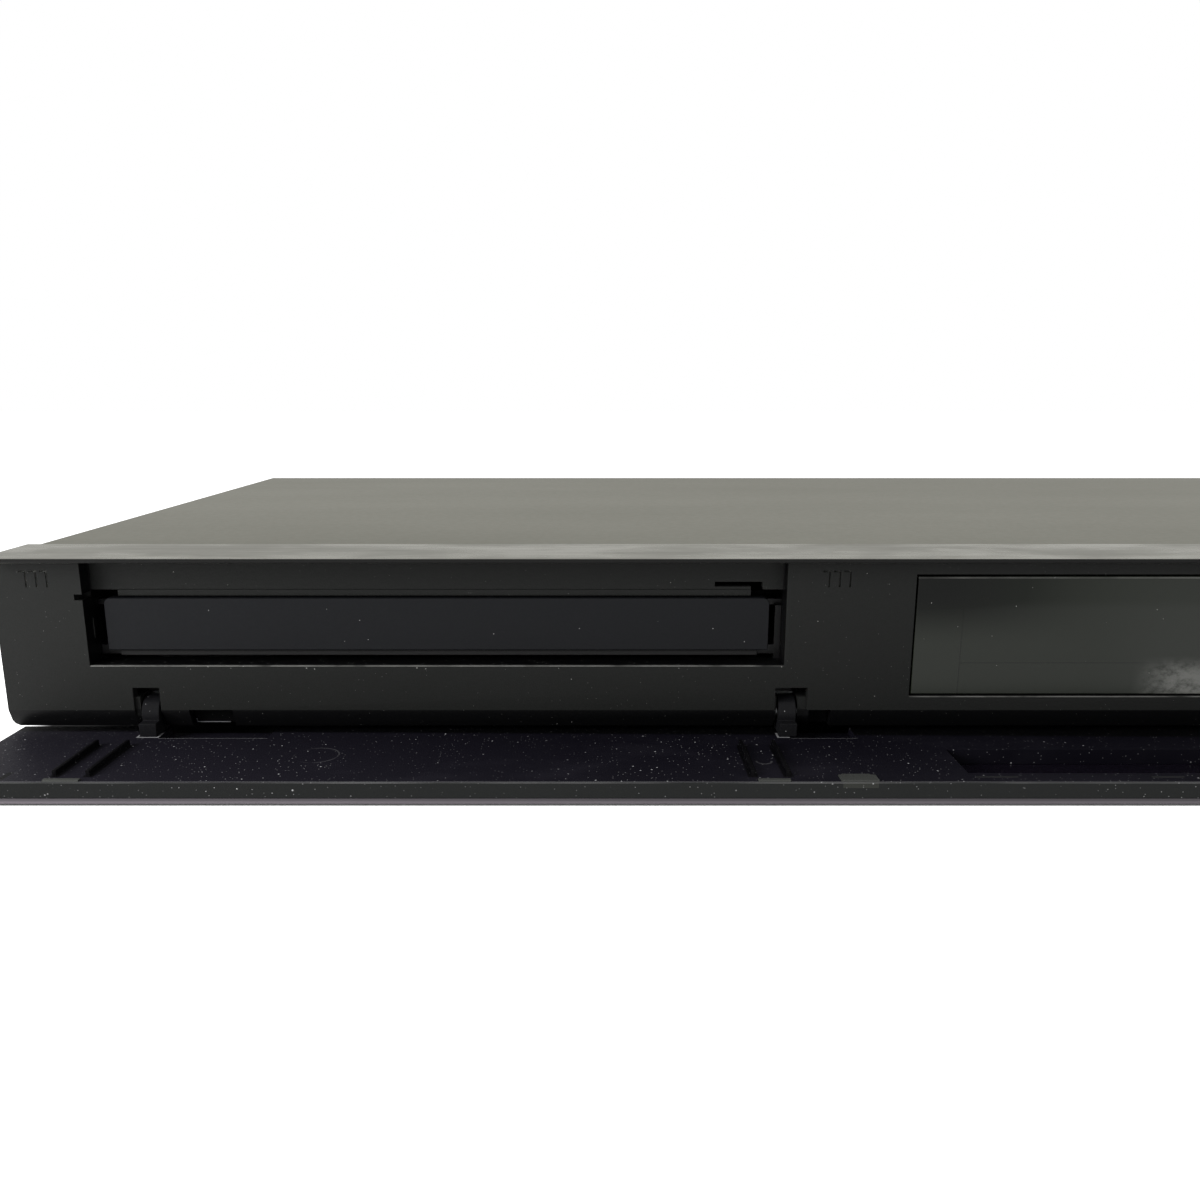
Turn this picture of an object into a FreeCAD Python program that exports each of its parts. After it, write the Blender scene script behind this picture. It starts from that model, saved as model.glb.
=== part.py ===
import FreeCAD, Part
import Sketcher
import math
import os
import re
from FreeCAD import Placement, Rotation, Vector

# Slim blu-ray recorder, in millimetres. X runs along the front, Y to the rear, Z up.
# The origin is the middle of the footprint with the front flap open, on the resting surface.
# Every y given to the helpers below is measured from the front face of the panel.

SIZES = {
    # Whole case
    "case_width": 430, "measured_half": 215, "case_height": 42, "case_depth": 199,
    "lip_overhang": 5, "floor_height": 6,
    "sheet": 1, "fit_gap": 0.3, "running_gap": 0.05, "cut_past": 1, "terminal_reach": 8, "cover_overhang": 2,
    # Trim strip and front panel
    "trim_thick": 0.9, "trim_rear": 15.7, "trim_edge": 0.3, "panel_wall": 2.5, "face_bottom": 9.74,
    "chin_in": 1.6, "chin_bottom": 5.9, "chin_wall": 1.2, "chin_round": 1.3, "chin_mid_in": 0.4,
    "chin_mid": 6.4, "chin_round_top": 7.2, "chin_gap_1": -177.7, "chin_gap_2": -168.7,
    "chin_gap_3": -44.9,
    "flange_thick": 1.7, "cheek_wall": 2, "shelf_thick": 1.3, "shelf_rear": 8, "boss_radius": 2.2,
    "boss_in": 3.5,
    "cheek_z1": 10.9, "cheek_z2": 8.7, "cheek_z3": 7.6, "cheek_z4": 6.5,
    "cheek_in2": 0.5, "cheek_in3": 1, "cheek_in4": 1.9, "cheek_in5": 2.3,
    # Tray mouth in the panel
    "mouth_half": 71.05, "mouth_bottom": 19.2, "mouth_wall": 2, "recess_deep": 4, "recess_bottom": 33.1,
    "recess_step_z": 34.3, "recess_step": 0.3, "notch_deep": 1.6, "notch_bottom": 32.8, "notch_lip": 0.3,
    "dark_left": 5.7,
    "tongue_right": 64.25, "slit_right": 66.75, "slit_bottom": 34.9, "slit_top": 35.9,
    "slit_start": 56.85, "slit_end": 66.65,
    # Display window
    "window_left": -28.7, "window_right": 100, "window_bottom": 13.2, "window_top": 37.7,
    "window_groove": 0.4, "window_flange": 2, "window_flange_thick": 1,
    # Flap and its hinge
    "hinge_y": 3.3, "hinge_z": 8.5, "flap_drop": 3.76, "flap_lift": 0.5, "flap_gap": 0.5, "flap_heel": 1.5,
    "flap_side_gap": 0.4, "flap_sheet": 1.08, "rib_height": 1.2, "rib_thick": 0.8, "rib_foot": 11.1,
    "rib_tip": 29.2, "rib_1": -67.55, "rib_2": -61.35, "rib_3": 61.55, "rib_4": 68.05,
    "flap_window_left": -24, "flap_window_right": 96, "flap_window_near": 13.6, "flap_window_far": 27.2,
    "heel_notch_1": -183.2, "heel_notch_2": -160.8, "heel_notch_3": -53.6, "heel_notch_4": -40,
    "heel_notch_deep": 8.1, "heel_notch_down": 1.5,
    "arm_left": -187.4, "arm_middle": -55.8, "arm_right": 183.8, "arm_wide": 3.6, "arm_radius": 3.7,
    "arm_root": 5.7, "arm_root_drop": 1,
    "slot_wide": 1.5, "slot_close": 0.4, "slot_2_left": 0.8, "slot_2_right": 2.3, "slot_floor": 9.3,
    "slot_top": 14.5, "slot_deep": 7.6,
    "pin_radius": 1.25, "lug_radius": 2.6, "lug_wide": 2.4, "lug_gap": 0.4, "lug_top": 12.4,
    "pin_press": 0.02,
    # Catch marks, engraved in the face
    "catch_left": -209.3, "catch_middle": -47.9, "catch_wide": 1.45, "catch_pitch": 2.1,
    "catch_bottom": 35.5, "catch_top": 38.9, "catch_line": 0.35, "catch_deep": 0.8,
    # Right end of the panel
    "power_x": 188, "open_x": 164, "button_z": 29, "button_half": 7, "button_tall": 3.2,
    "button_travel": 0.5,
    "button_flange": 1, "button_flange_thick": 0.8, "button_stem": 1.6, "button_corner": 1,
    "usb_x": 141, "usb_z": 20, "usb_half": 6.6, "usb_tall": 2.9, "usb_wall": 0.4, "usb_front": 0.6,
    "usb_deep": 8, "usb_tongue": 0.9, "usb_tongue_half": 5.1,
    "card_x": 113, "card_z": 20, "card_half": 9, "card_slot_half": 7.8, "card_tall": 1.6,
    "card_slot_tall": 0.5,
    "card_rear": 26,
    # Front board and display
    "front_board_y": 9.6, "board_thick": 1.6, "board_lap": 8.9, "front_board_right": 208,
    "front_board_bottom": 15.8, "front_board_top": 38, "glass_left": -4, "glass_right": 76,
    "glass_bottom": 18, "glass_top": 34, "glass_front": 5, "switch_half": 3, "switch_deep": 2.6,
    # Top cover, pan and rear panel
    "cover_inset": 1.5, "cover_top_drop": 0.1, "cover_front": 16.3, "cover_bend": 1.2, "cover_bottom": 6.5,
    "cover_sheet": 0.9, "pan_gap": 0.3, "pan_front": 8.3, "pan_front_top": 11.5, "pan_side_drop": 4,
    "vent_long": 14, "vent_wide": 2.2, "vent_pitch": 5.5, "vent_z": 24, "vent_y": 60, "floor_vent_x": 71,
    "floor_vent_pitch": 8.8, "floor_vent_long": 28, "floor_vents": 9, "left_vents": 7, "right_vents": 10,
    "rear_top_drop": 1.4, "rear_thick": 1,
    # Feet and case screws
    "foot_radius": 11, "foot_edge": 1.2, "foot_pad_radius": 8, "foot_pad_deep": 0.8, "foot_x": 178,
    "foot_front_y": 34, "foot_rear_y": 164, "foot_stud": 2, "foot_stud_tall": 1.8,
    "screw_radius": 1.5, "screw_head": 3, "screw_head_tall": 1.2, "pan_head_tall": 1.6,
    "board_screw_long": 5.6, "screw_end_gap": 0.5, "screw_long": 4, "case_screw_z": 15,
    "case_screw_y1": 48, "case_screw_y2": 150, "rear_screw_drop": 4.5, "rear_screw_x": 196,
    "thread_gap": 0.05, "board_hole_gap": 0.2,
    # Disc drive
    "drive_from_left": 88.95, "drive_half": 74, "drive_wall": 2, "drive_front": 6.5, "drive_rear": 166,
    "post_in": 69.8, "post_top": 30.5,
    "drive_floor": 15, "drive_floor_thick": 1.5, "drive_skirt": 12, "drive_top": 38, "beam_top": 19,
    "beam_thick": 2, "window_half_drive": 42, "window_front_drive": 38, "window_rear_drive": 158,
    "ear_reach": 8, "ear_hole_gap": 0.4, "ear_half": 5, "ear_y1": 24, "ear_y2": 140, "damper_radius": 3.4,
    "damper_bottom": 11,
    "post_radius": 3.5, "ledge_half": 64.35, "ledge_bottom": 20.2, "ledge_top": 22.1,
    "guide_bottom": 30.3, "guide_thick": 1.2, "guide_in": 64.6, "guide_long": 10, "guide_1_y": 8.5,
    "guide_2_y": 118,
    "web_half": 45, "web_y": 36.5, "web_thick": 1.5, "web_top": 21.5,
    # Disc tray and its door
    "door_half": 68, "door_bottom": 21.9, "door_top": 32.8, "door_front": 2.5, "door_thick": 3,
    "door_corner": 1.3, "door_ledge_half": 66, "door_ledge_bottom": 20.5, "door_ledge_front": 3.6,
    "tray_half": 66, "tray_bottom": 22.4, "tray_top": 29.9, "tray_rear": 158, "tray_travel": 132,
    "disc_y": 73, "disc_recess_radius": 60.6, "disc_recess_floor": 27.4,
    "small_recess_radius": 40.6, "small_recess_deep": 0.9, "tray_slot_half": 25, "tray_slot_front": 18,
    "tray_rim": 1.8, "tray_under": 25.2,
    # Rack, loading gear, belt and motor
    "gear_x": -54, "gear_y": 22, "gear_teeth": 14, "gear_module": 1, "gear_bottom": 19, "gear_top": 22,
    "gear_tooth_share": 0.38, "gear_addendum": 0.8, "gear_dedendum": 1.05, "rack_back": 63.9,
    "rack_bottom": 19.7, "rack_top": 25.4, "rack_front": 8, "rack_spare": 1, "pulley_radius": 12,
    "pulley_bottom": 17, "belt_rise": 1,
    "groove_deep": 1.3, "groove_tall": 1.3, "gear_post_radius": 2, "motor_x": -30, "motor_radius": 10,
    "motor_bottom": 7.6, "motor_pulley_radius": 4, "motor_shaft": 1, "motor_shaft_top": 19.6, "shaft_end": 2,
    "belt_thick": 1, "belt_tall": 1, "belt_gap": 0.1,
    # Traverse, cam slider, spindle and pickup
    "traverse_half": 39, "traverse_front": 46, "traverse_rear": 151, "traverse_z": 17.5,
    "traverse_thick": 1.5, "sled_window_left": 27, "sled_window_right": 34.5, "sled_window_front": 87.5,
    "sled_window_spare": 1.5, "pivot_y": 152, "pivot_z": 18.2, "pivot_radius": 1.5, "pivot_ear": 3.4,
    "pivot_ear_half": 3, "pivot_block": 4, "pivot_tip_gap": 0.4, "cam_pin_radius": 1.2, "cam_pin_1": -16,
    "cam_pin_2": 18,
    "cam_y": 39, "cam_thick": 2, "cam_left": 36, "cam_right": 22, "cam_bottom": 10, "cam_top": 21,
    "cam_travel": 14,
    "lift_degrees": 2.9, "cam_slot_gap": 0.4, "cam_pin_out": 0.6, "cam_block_half": 2, "screw_block_half": 3,
    "spindle_radius": 12.5, "spindle_bottom": 12, "turntable_radius": 14, "turntable_bottom": 26,
    "disc_plane": 28, "nose_radius": 7.3, "nose_top_radius": 5.6, "nose_top": 29.8, "nose_upright": 0.8,
    "spindle_end": 1.3, "spindle_shaft": 1,
    "hub_radius": 6, "hub_bottom": 19.4, "rod_x": 22, "rod_z": 21, "rod_radius": 1.5, "rod_front": 84.3,
    "rod_rear": 147.5, "holder_half": 3.2, "holder_long": 3, "holder_top": 23.4,
    "sled_half": 18, "sled_front": 88, "sled_long": 18, "sled_bottom": 13.5, "sled_top": 24,
    "sled_travel": 37, "bush_out": 25, "bush_bottom": 19.4, "bush_top": 23.4, "nut_bottom": 16.6,
    "nut_top": 19.2, "nut_half": 3, "lens_radius": 2.4, "lens_top_radius": 1.9, "lens_base": 5,
    "lens_base_tall": 0.9,
    "lens_tall": 0.9, "screw_x": 31, "screw_z": 18, "lead_radius": 1.4, "lead_front": 83.7, "lead_rear": 146,
    "sled_motor_radius": 3.8, "sled_motor_rear": 156, "sled_motor_front": 144.8,
    # Clamper and its bridge
    "bridge_half": 71.6, "bridge_front": 58, "bridge_wide": 30, "bridge_z": 35, "bridge_thick": 1.2,
    "bridge_hole": 9.2, "seat_in": 67, "seat_thick": 1.2, "clamper_radius": 15, "clamper_neck": 8.8,
    "clamper_cap": 12, "clamper_bottom": 30.2, "clamper_plate": 2.4, "clamper_cap_tall": 1.2,
    "clamper_cup": 8, "clamper_cup_deep": 1.4,
    # Main board and what is on it
    "board_z": 12, "main_left": -43, "main_front": 30, "standoff_radius": 2.8, "standoff_in": 4,
    "chip_x": 6, "chip_y": 92, "chip_half": 14, "chip_tall": 2.4, "memory_step": 25, "memory_half": 6,
    "memory_tall": 1.2, "small_cap_y": 128, "small_cap_radius": 4, "small_cap_tall": 9, "sink_half": 17,
    "sink_tall": 14,
    "sink_base": 2.4, "fin_count": 8, "fin_thick": 1.2,
    "tuner_left": -40, "tuner_wide": 38, "tuner_front": 148, "tuner_top": 38.5,
    "terminal_radius": 4.7, "terminal_x1": -31, "terminal_x2": -12.5, "terminal_z1": 20, "terminal_z2": 33,
    "terminal_hole": 0.5, "terminal_bore": 1.4, "terminal_core": 3.2, "terminal_core_deep": 1,
    "terminal_collar": 4.4,
    "lan_left": 4, "lan_wide": 16, "lan_tall": 13.4, "lan_deep": 21, "lan_mouth_wide": 11.8,
    "lan_mouth_tall": 7.4, "lan_mouth_deep": 13, "lan_mouth_low": 2.6, "socket_out": 1,
    "rear_usb_left": 25, "rear_usb_tall": 5.8, "rear_usb_wide": 13.2, "rear_usb_deep": 18,
    "hdmi_left": 42, "hdmi_wide": 15, "hdmi_tall": 5.8, "hdmi_deep": 12, "hdmi_mouth_tall": 4.6,
    "hdmi_mouth_wide": 14, "hdmi_chamfer": 1.6, "hdmi_tongue_in": 1.5, "hdmi_tongue": 1.1, "cut_gap": 0.5,
    # Fan
    "fan_left": 63, "fan_board_gap": 4, "fan_size": 30, "fan_thick": 10, "fan_z": 8, "fan_bore": 13.6,
    "fan_hub": 6.5,
    "fan_tip": 13, "blade_count": 7, "blade_thick": 1.1, "blade_long": 7, "fan_pin": 1,
    "fan_spider": 1.6, "fan_front_gap": 0.6, "fan_arm_half": 2, "blade_lean": 35, "hub_sink": 0.5,
    "fan_pin_start": 2.5, "grille_rows": 6, "grille_pitch": 4, "grille_radius": 12.5, "grille_slot": 2.2,
    # Power board
    "power_left": 99, "power_front": 134, "right_margin": 7, "power_rear_gap": 6, "main_rear_post": 42,
    "coil_x": 132, "coil_y": 158, "coil_half": 14,
    "coil_tall": 19, "coil_core": 5, "coil_yoke": 3, "cap_x": 112, "cap_y": 146, "cap_radius": 7,
    "cap_tall": 22,
    "cap_pitch": 20, "second_cap_step": 46, "second_cap_radius": 5, "second_cap_tall": 17,
    "third_cap_radius": 4.5, "third_cap_tall": 14, "inlet_x": 188, "inlet_wide": 20, "inlet_tall": 13,
    "inlet_deep": 18,
    "inlet_mouth_wide": 14.8, "inlet_mouth_tall": 8.6, "inlet_mouth_deep": 11, "inlet_pin": 1.2,
    "inlet_pitch": 8.6, "inlet_pin_long": 9, "inlet_rise": 5, "inlet_foot_gap": 8,
    # Hard disk
    "disk_left": 60.5, "disk_long": 147, "disk_front": 29, "disk_wide": 101.6, "disk_z": 8.3,
    "disk_tall": 26.1, "disk_lid": 1.2, "disk_lid_in": 5, "bracket_thick": 1, "bracket_in": 8,
    "bracket_up": 12,
    # Inner cables
    "ribbon_thick": 0.6, "ribbon_wide": 16, "front_ribbon_wide": 22, "front_ribbon_z": 24,
    "drive_ribbon_z": 26, "disk_cable_z": 21, "fan_lead_z": 26, "fan_lead_radius": 0.9,
    "supply_lead_z": 20.5,
    "supply_lead_radius": 1.6, "plug_tall": 3.4, "plug_thick": 5, "front_plug_y": 35.5,
    "front_plug_x": -21, "drive_plug_x": -35,
    "drive_plug_y": 118, "disk_plug_x": 48, "disk_plug_y": 88, "fan_plug_x": 51, "fan_plug_y": 166,
    "power_plug_x": 53, "power_plug_y": 154,
}

DERIVED = {
    "flap_reach": "case_height - trim_thick - flap_gap - hinge_z",
    "rear_face": "case_depth - lip_overhang - terminal_reach",
    "rear_inner": "rear_face - rear_thick",
    "face_y": "-(case_depth - lip_overhang - (flap_reach - hinge_y)) / 2",
    "case_half": "case_width / 2",
    "trim_bottom": "case_height - trim_thick",
    "cover_half": "case_half - cover_inset",
    "cover_z": "case_height - cover_top_drop",
    "pan_half": "cover_half - cover_sheet - pan_gap",
    "pan_floor": "floor_height + sheet",
    "drive_x": "drive_from_left - case_half",
    "flap_half": "case_half - flap_side_gap",
    "flap_inner": "hinge_z - flap_drop",
    "shell_top": "flap_lift + flap_sheet",
    "flap_far": "hinge_y - flap_reach",
    "flap_near": "hinge_y + flap_heel",
    "right_shift": "case_half - measured_half",
    "rack_pitch_x": "gear_x - gear_module * gear_teeth / 2",
    "board_top": "board_z + board_thick",
    "main_right": "fan_left - fan_board_gap + right_shift",
    "rack_rear": "gear_y + tray_travel + rack_spare",
    "sled_window_rear": "sled_front + sled_long + sled_travel + sled_window_spare",
    "belt_z": "pulley_bottom + belt_rise",
    "disk_x": "disk_left + right_shift",
    "front_board_left": "window_left - right_shift - board_lap",
    "rear_top": "case_height - rear_top_drop",
    "pan_side_top": "case_height - pan_side_drop",
    "rear_screw_z": "case_height - rear_screw_drop",
}

WORD = re.compile(r"[a-z][a-z_0-9]*")
document = FreeCAD.newDocument("recorder")
sheet = document.addObject("Spreadsheet::Sheet", "Sizes")
nodes = []
count = 0


def fill_sheet():
    """Write each driving dimension into its own cell, with its name as alias."""
    for row, (name, size) in enumerate(SIZES.items(), start=1):
        sheet.set(f"A{row}", name)
        sheet.set(f"B{row}", str(size))
        sheet.setAlias(f"B{row}", name)
    document.recompute()


def cells(formula):
    """Write a formula's plain names as cells of the sheet, and its derived names as their formulas."""
    def swap(found):
        word = found.group()
        if word in ("sqrt", "sin"):
            return word
        return f"({cells(DERIVED[word])})" if word in DERIVED else f"Sizes.{word}"
    return WORD.sub(swap, str(formula))


def value(formula):
    return float(sheet.evalExpression(cells(formula)))


def bind(item, field, formula):
    item.setExpression(field, cells(formula))


def new(kind):
    global count
    count += 1
    return document.addObject(kind, f"Item{count}")


def put(item, x, y, z):
    """Place an item, with y measured from the front face."""
    bind(item, "Placement.Base.x", x)
    bind(item, "Placement.Base.y", f"face_y + ({y})")
    bind(item, "Placement.Base.z", z)
    return item


def box(x, y, z):
    """A box between two places on each axis."""
    item = new("Part::Box")
    bind(item, "Length", f"({x[1]}) - ({x[0]})")
    bind(item, "Width", f"({y[1]}) - ({y[0]})")
    bind(item, "Height", f"({z[1]}) - ({z[0]})")
    return put(item, x[0], y[0], z[0])


TURN = {"x": Rotation(Vector(0, 1, 0), 90), "y": Rotation(Vector(1, 0, 0), -90), "z": Rotation()}


def rod(axis, place, radius, length):
    """A round bar that starts at a place and runs along an axis."""
    item = new("Part::Cylinder")
    bind(item, "Radius", radius)
    bind(item, "Height", length)
    item.Placement = Placement(Vector(), TURN[axis])
    return put(item, *place)


def tip(axis, place, start_radius, end_radius, length):
    """A cone that starts at a place and runs along an axis."""
    item = new("Part::Cone")
    bind(item, "Radius1", start_radius)
    bind(item, "Radius2", end_radius)
    bind(item, "Height", length)
    item.Placement = Placement(Vector(), TURN[axis])
    return put(item, *place)


def join(*items):
    if len(items) == 1:
        return items[0]
    item = new("Part::MultiFuse")
    item.Shapes = list(items)
    item.Refine = True
    return item


def cut(base, *tools):
    item = new("Part::Cut")
    item.Base = base
    item.Tool = join(*tools)
    item.Refine = True
    return item


def both(base, other):
    item = new("Part::Common")
    item.Base = base
    item.Tool = other
    return item


def group(*items):
    """Keep like solids of one node side by side."""
    item = new("Part::Compound")
    item.Links = list(items)
    return item


def node(label, item):
    """Give a finished sub-part its name and list it for writing."""
    item.Label = label
    nodes.append(item)
    return item


def origin_plane(body, role):
    return [plane for plane in body.Origin.OriginFeatures if plane.Role == role][0]


def outline(body, role, points):
    """A closed sketch of straight sides whose corners follow the sheet."""
    sketch = body.newObject("Sketcher::SketchObject", body.Name + "Sketch")
    sketch.AttachmentSupport = [(origin_plane(body, role), "")]
    sketch.MapMode = "FlatFace"
    corners = [Vector(value(across), value(up), 0) for across, up in points]
    total = len(corners)
    for index in range(total):
        sketch.addGeometry(Part.LineSegment(corners[index], corners[(index + 1) % total]), False)
    for index in range(total):
        sketch.addConstraint(Sketcher.Constraint("Coincident", index, 2, (index + 1) % total, 1))
    for index, (across, up) in enumerate(points):
        for kind, formula, size in (("DistanceX", across, corners[index].x), ("DistanceY", up,
                                                                              corners[index].y)):
            number = sketch.addConstraint(Sketcher.Constraint(kind, -1, 1, index, 1, size))
            bind(sketch, f"Constraints[{number}]", formula)
    return sketch


def bar(role, points, start, length):
    """An outline in an origin plane, made solid along the axis across it."""
    body = new("PartDesign::Body")
    sketch = outline(body, role, points)
    pad = body.newObject("PartDesign::Pad", body.Name + "Pad")
    pad.Profile = sketch
    pad.Reversed = role == "XZ_Plane"
    bind(pad, "Length", length)
    shift = {"YZ_Plane": (start, "0", "0"), "XZ_Plane": ("0", start, "0"), "XY_Plane": ("0", "0", start)}
    return put(body, *shift[role])


def turned(axis, place, points):
    """An outline of radius and height, turned about its axis and set at a place."""
    body = new("PartDesign::Body")
    sketch = outline(body, "XZ_Plane", points)
    turn = body.newObject("PartDesign::Revolution", body.Name + "Turn")
    turn.Profile = sketch
    turn.ReferenceAxis = (sketch, ["V_Axis"])
    turn.Angle = 360
    body.Placement = Placement(Vector(), TURN[axis])
    return put(body, *place)


def soften(body, radius, wanted):
    """Round the edges of a body that a test picks by their direction and middle."""
    document.recompute()
    base = body.Tip
    names = []
    for number, edge in enumerate(base.Shape.Edges, start=1):
        if edge.Curve.TypeId != "Part::GeomLine":
            continue
        along = edge.Curve.Direction
        middle = edge.CenterOfMass
        if wanted(along, middle):
            names.append(f"Edge{number}")
    fillet = body.newObject("PartDesign::Fillet", body.Name + "Fillet")
    fillet.Base = (base, names)
    bind(fillet, "Radius", radius)
    return body


def top_trim():
    strip = bar("YZ_Plane", [("-lip_overhang", "trim_bottom"), ("trim_rear", "trim_bottom"),
                             ("trim_rear", "case_height"), ("-lip_overhang", "case_height")],
                "-case_half", "case_width")
    front = value("-lip_overhang")
    soften(strip, "trim_edge", lambda along, middle: abs(along.x) > 0.9 and abs(middle.y - front) < 0.01)
    return node("top_trim", strip)


def hinge_arms():
    """Left end of each hinge arm, along the flap."""
    return ("arm_left - right_shift", "arm_middle - right_shift", "arm_right + right_shift")


def panel_ring():
    """The duct around the tray mouth, its recessed upper wall and the step along it."""
    left = "drive_x - mouth_half - mouth_wall"
    right = "drive_x + mouth_half + mouth_wall"
    back = "recess_deep + mouth_wall"
    frame = box((left, right), ("panel_wall", back), ("mouth_bottom - mouth_wall", "trim_bottom"))
    hole = box(("drive_x - mouth_half", "drive_x + mouth_half"), ("0", f"{back} + cut_past"),
               ("mouth_bottom", "trim_bottom + cut_past"))
    wall = box((left, right), ("recess_deep", back), ("recess_bottom", "trim_bottom"))
    step = box(("drive_x - mouth_half", "drive_x + mouth_half"),
               ("recess_deep - recess_step", "recess_deep"), ("recess_bottom", "recess_step_z"))
    return join(cut(frame, hole), wall, step)


def recess_cuts():
    """The L-shaped slit that frees the small tongue, the open ends of the step and the side notch."""
    deep = ("recess_deep - cut_past", "recess_deep + mouth_wall + cut_past")
    slit = box(("drive_x + slit_start", "drive_x + slit_end"), deep, ("slit_bottom", "slit_top"))
    side = box(("drive_x + tongue_right", "drive_x + slit_right"), deep, ("recess_bottom - cut_past",
                                                                          "slit_bottom"))
    dark = box(("drive_x + slit_right", "drive_x + mouth_half"), deep, ("recess_bottom - cut_past",
                                                                        "recess_step_z"))
    notch = box(("drive_x - mouth_half - notch_deep", "drive_x - mouth_half"), ("-cut_past", "recess_deep"),
                ("notch_bottom", "recess_step_z - notch_lip"))
    end = box(("drive_x - mouth_half", "drive_x - mouth_half + dark_left"), deep,
              ("recess_bottom - cut_past", "recess_step_z"))
    return [slit, side, dark, notch, end]


def hinge_slots():
    """The opening round each arm, in the face and on down through the chin."""
    cuts = []
    sides = (("slot_wide", "slot_close"), ("slot_2_left", "slot_2_right"), ("slot_close", "slot_wide"))
    for left, (before, after) in zip(hinge_arms(), sides):
        across = (f"{left} - {before}", f"{left} + arm_wide + {after}")
        cuts.append(box(across, ("-cut_past", "slot_deep"), ("slot_floor", "slot_top")))
        cuts.append(box(across, ("-cut_past", "shelf_rear + cut_past"),
                        ("chin_bottom - cut_past", "slot_floor + running_gap")))
    return cuts


def chin():
    """The sloped lower edge of the face, a thin wall that turns back under the shelf, closed at its ends."""
    top = "face_bottom + shelf_thick"
    wall = bar("YZ_Plane", [("0", top), ("0", "face_bottom"), ("chin_in", "chin_bottom"),
                            ("shelf_rear", "chin_bottom"), ("shelf_rear", "chin_bottom + chin_wall"),
                            ("chin_in + chin_wall", "chin_bottom + chin_wall"), ("panel_wall", top)],
               "-case_half", "case_width")
    parts = [wall]
    for start in ("-case_half", "case_half - cheek_wall"):
        parts.append(bar("YZ_Plane", [("0", top), ("0", "face_bottom"), ("chin_in", "chin_bottom"),
                                      ("pan_front", "chin_bottom"), ("pan_front", top)], start,
                         "cheek_wall"))
    deep = ("-cut_past", "shelf_rear + cut_past")
    tall = ("chin_bottom - cut_past", "face_bottom")
    cuts = [box(("chin_gap_1 - right_shift", "chin_gap_2 - right_shift"), deep, tall),
            box(("arm_middle - right_shift", "chin_gap_3 - right_shift"), deep, tall)]
    for side in ("-1 * ", ""):
        past = f"{side}(case_half + cut_past)"
        edge = f"{side}(case_half - chin_round)"
        corners = [(past, "chin_bottom - cut_past"), (past, "chin_round_top"),
                   (f"{side}case_half", "chin_round_top"), (f"{side}(case_half - chin_mid_in)", "chin_mid"),
                   (edge, "chin_bottom"), (edge, "chin_bottom - cut_past")]
        cuts.append(bar("XZ_Plane", corners, "-cut_past", "pan_front + cut_past"))
    return cut(join(*parts), *cuts)


def hinge_lugs():
    """Two round-ended lugs beside each arm, bored for the pin."""
    lugs = []
    bores = []
    for left in hinge_arms():
        for start in (f"{left} - lug_gap - lug_wide", f"{left} + arm_wide + lug_gap"):
            lugs.append(rod("x", (start, "hinge_y", "hinge_z"), "lug_radius", "lug_wide"))
            lugs.append(box((start, f"{start} + lug_wide"), ("hinge_y - lug_radius", "hinge_y + lug_radius"),
                            ("hinge_z", "lug_top")))
        bores.append(rod("x", (f"{left} - lug_gap - lug_wide - cut_past", "hinge_y", "hinge_z"),
                         "pin_radius + pin_press", "arm_wide + 2 * lug_gap + 2 * lug_wide + 2 * cut_past"))
    return lugs, bores


def catch_cuts():
    """Three engraved corner lines at each catch: a bar along the top and a leg down its right end."""
    cuts = []
    deep = ("-cut_past", "catch_deep")
    for start in ("catch_left - right_shift", "catch_middle"):
        for step in ("0", "1", "2"):
            left = f"{start} + {step} * catch_pitch"
            right = f"{left} + catch_wide"
            cuts.append(box((left, right), deep, ("catch_top - catch_line", "catch_top")))
            cuts.append(box((f"{right} - catch_line", right), deep, ("catch_bottom", "catch_top")))
    return cuts


def right_end_cuts():
    """Holes for the two buttons, the USB socket and the card."""
    deep = ("-cut_past", "panel_wall + cut_past")
    cuts = []
    for middle in ("power_x + right_shift", "open_x + right_shift"):
        cuts.append(box((f"{middle} - button_half - fit_gap", f"{middle} + button_half + fit_gap"), deep,
                        ("button_z - button_tall - fit_gap", "button_z + button_tall + fit_gap")))
    cuts.append(box(("usb_x + right_shift - usb_half - fit_gap", "usb_x + right_shift + usb_half + fit_gap"),
                    deep, ("usb_z - usb_tall - fit_gap", "usb_z + usb_tall + fit_gap")))
    cuts.append(box(("card_x + right_shift - card_slot_half", "card_x + right_shift + card_slot_half"), deep,
                    ("card_z - card_slot_tall", "card_z + card_slot_tall")))
    return cuts


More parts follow.
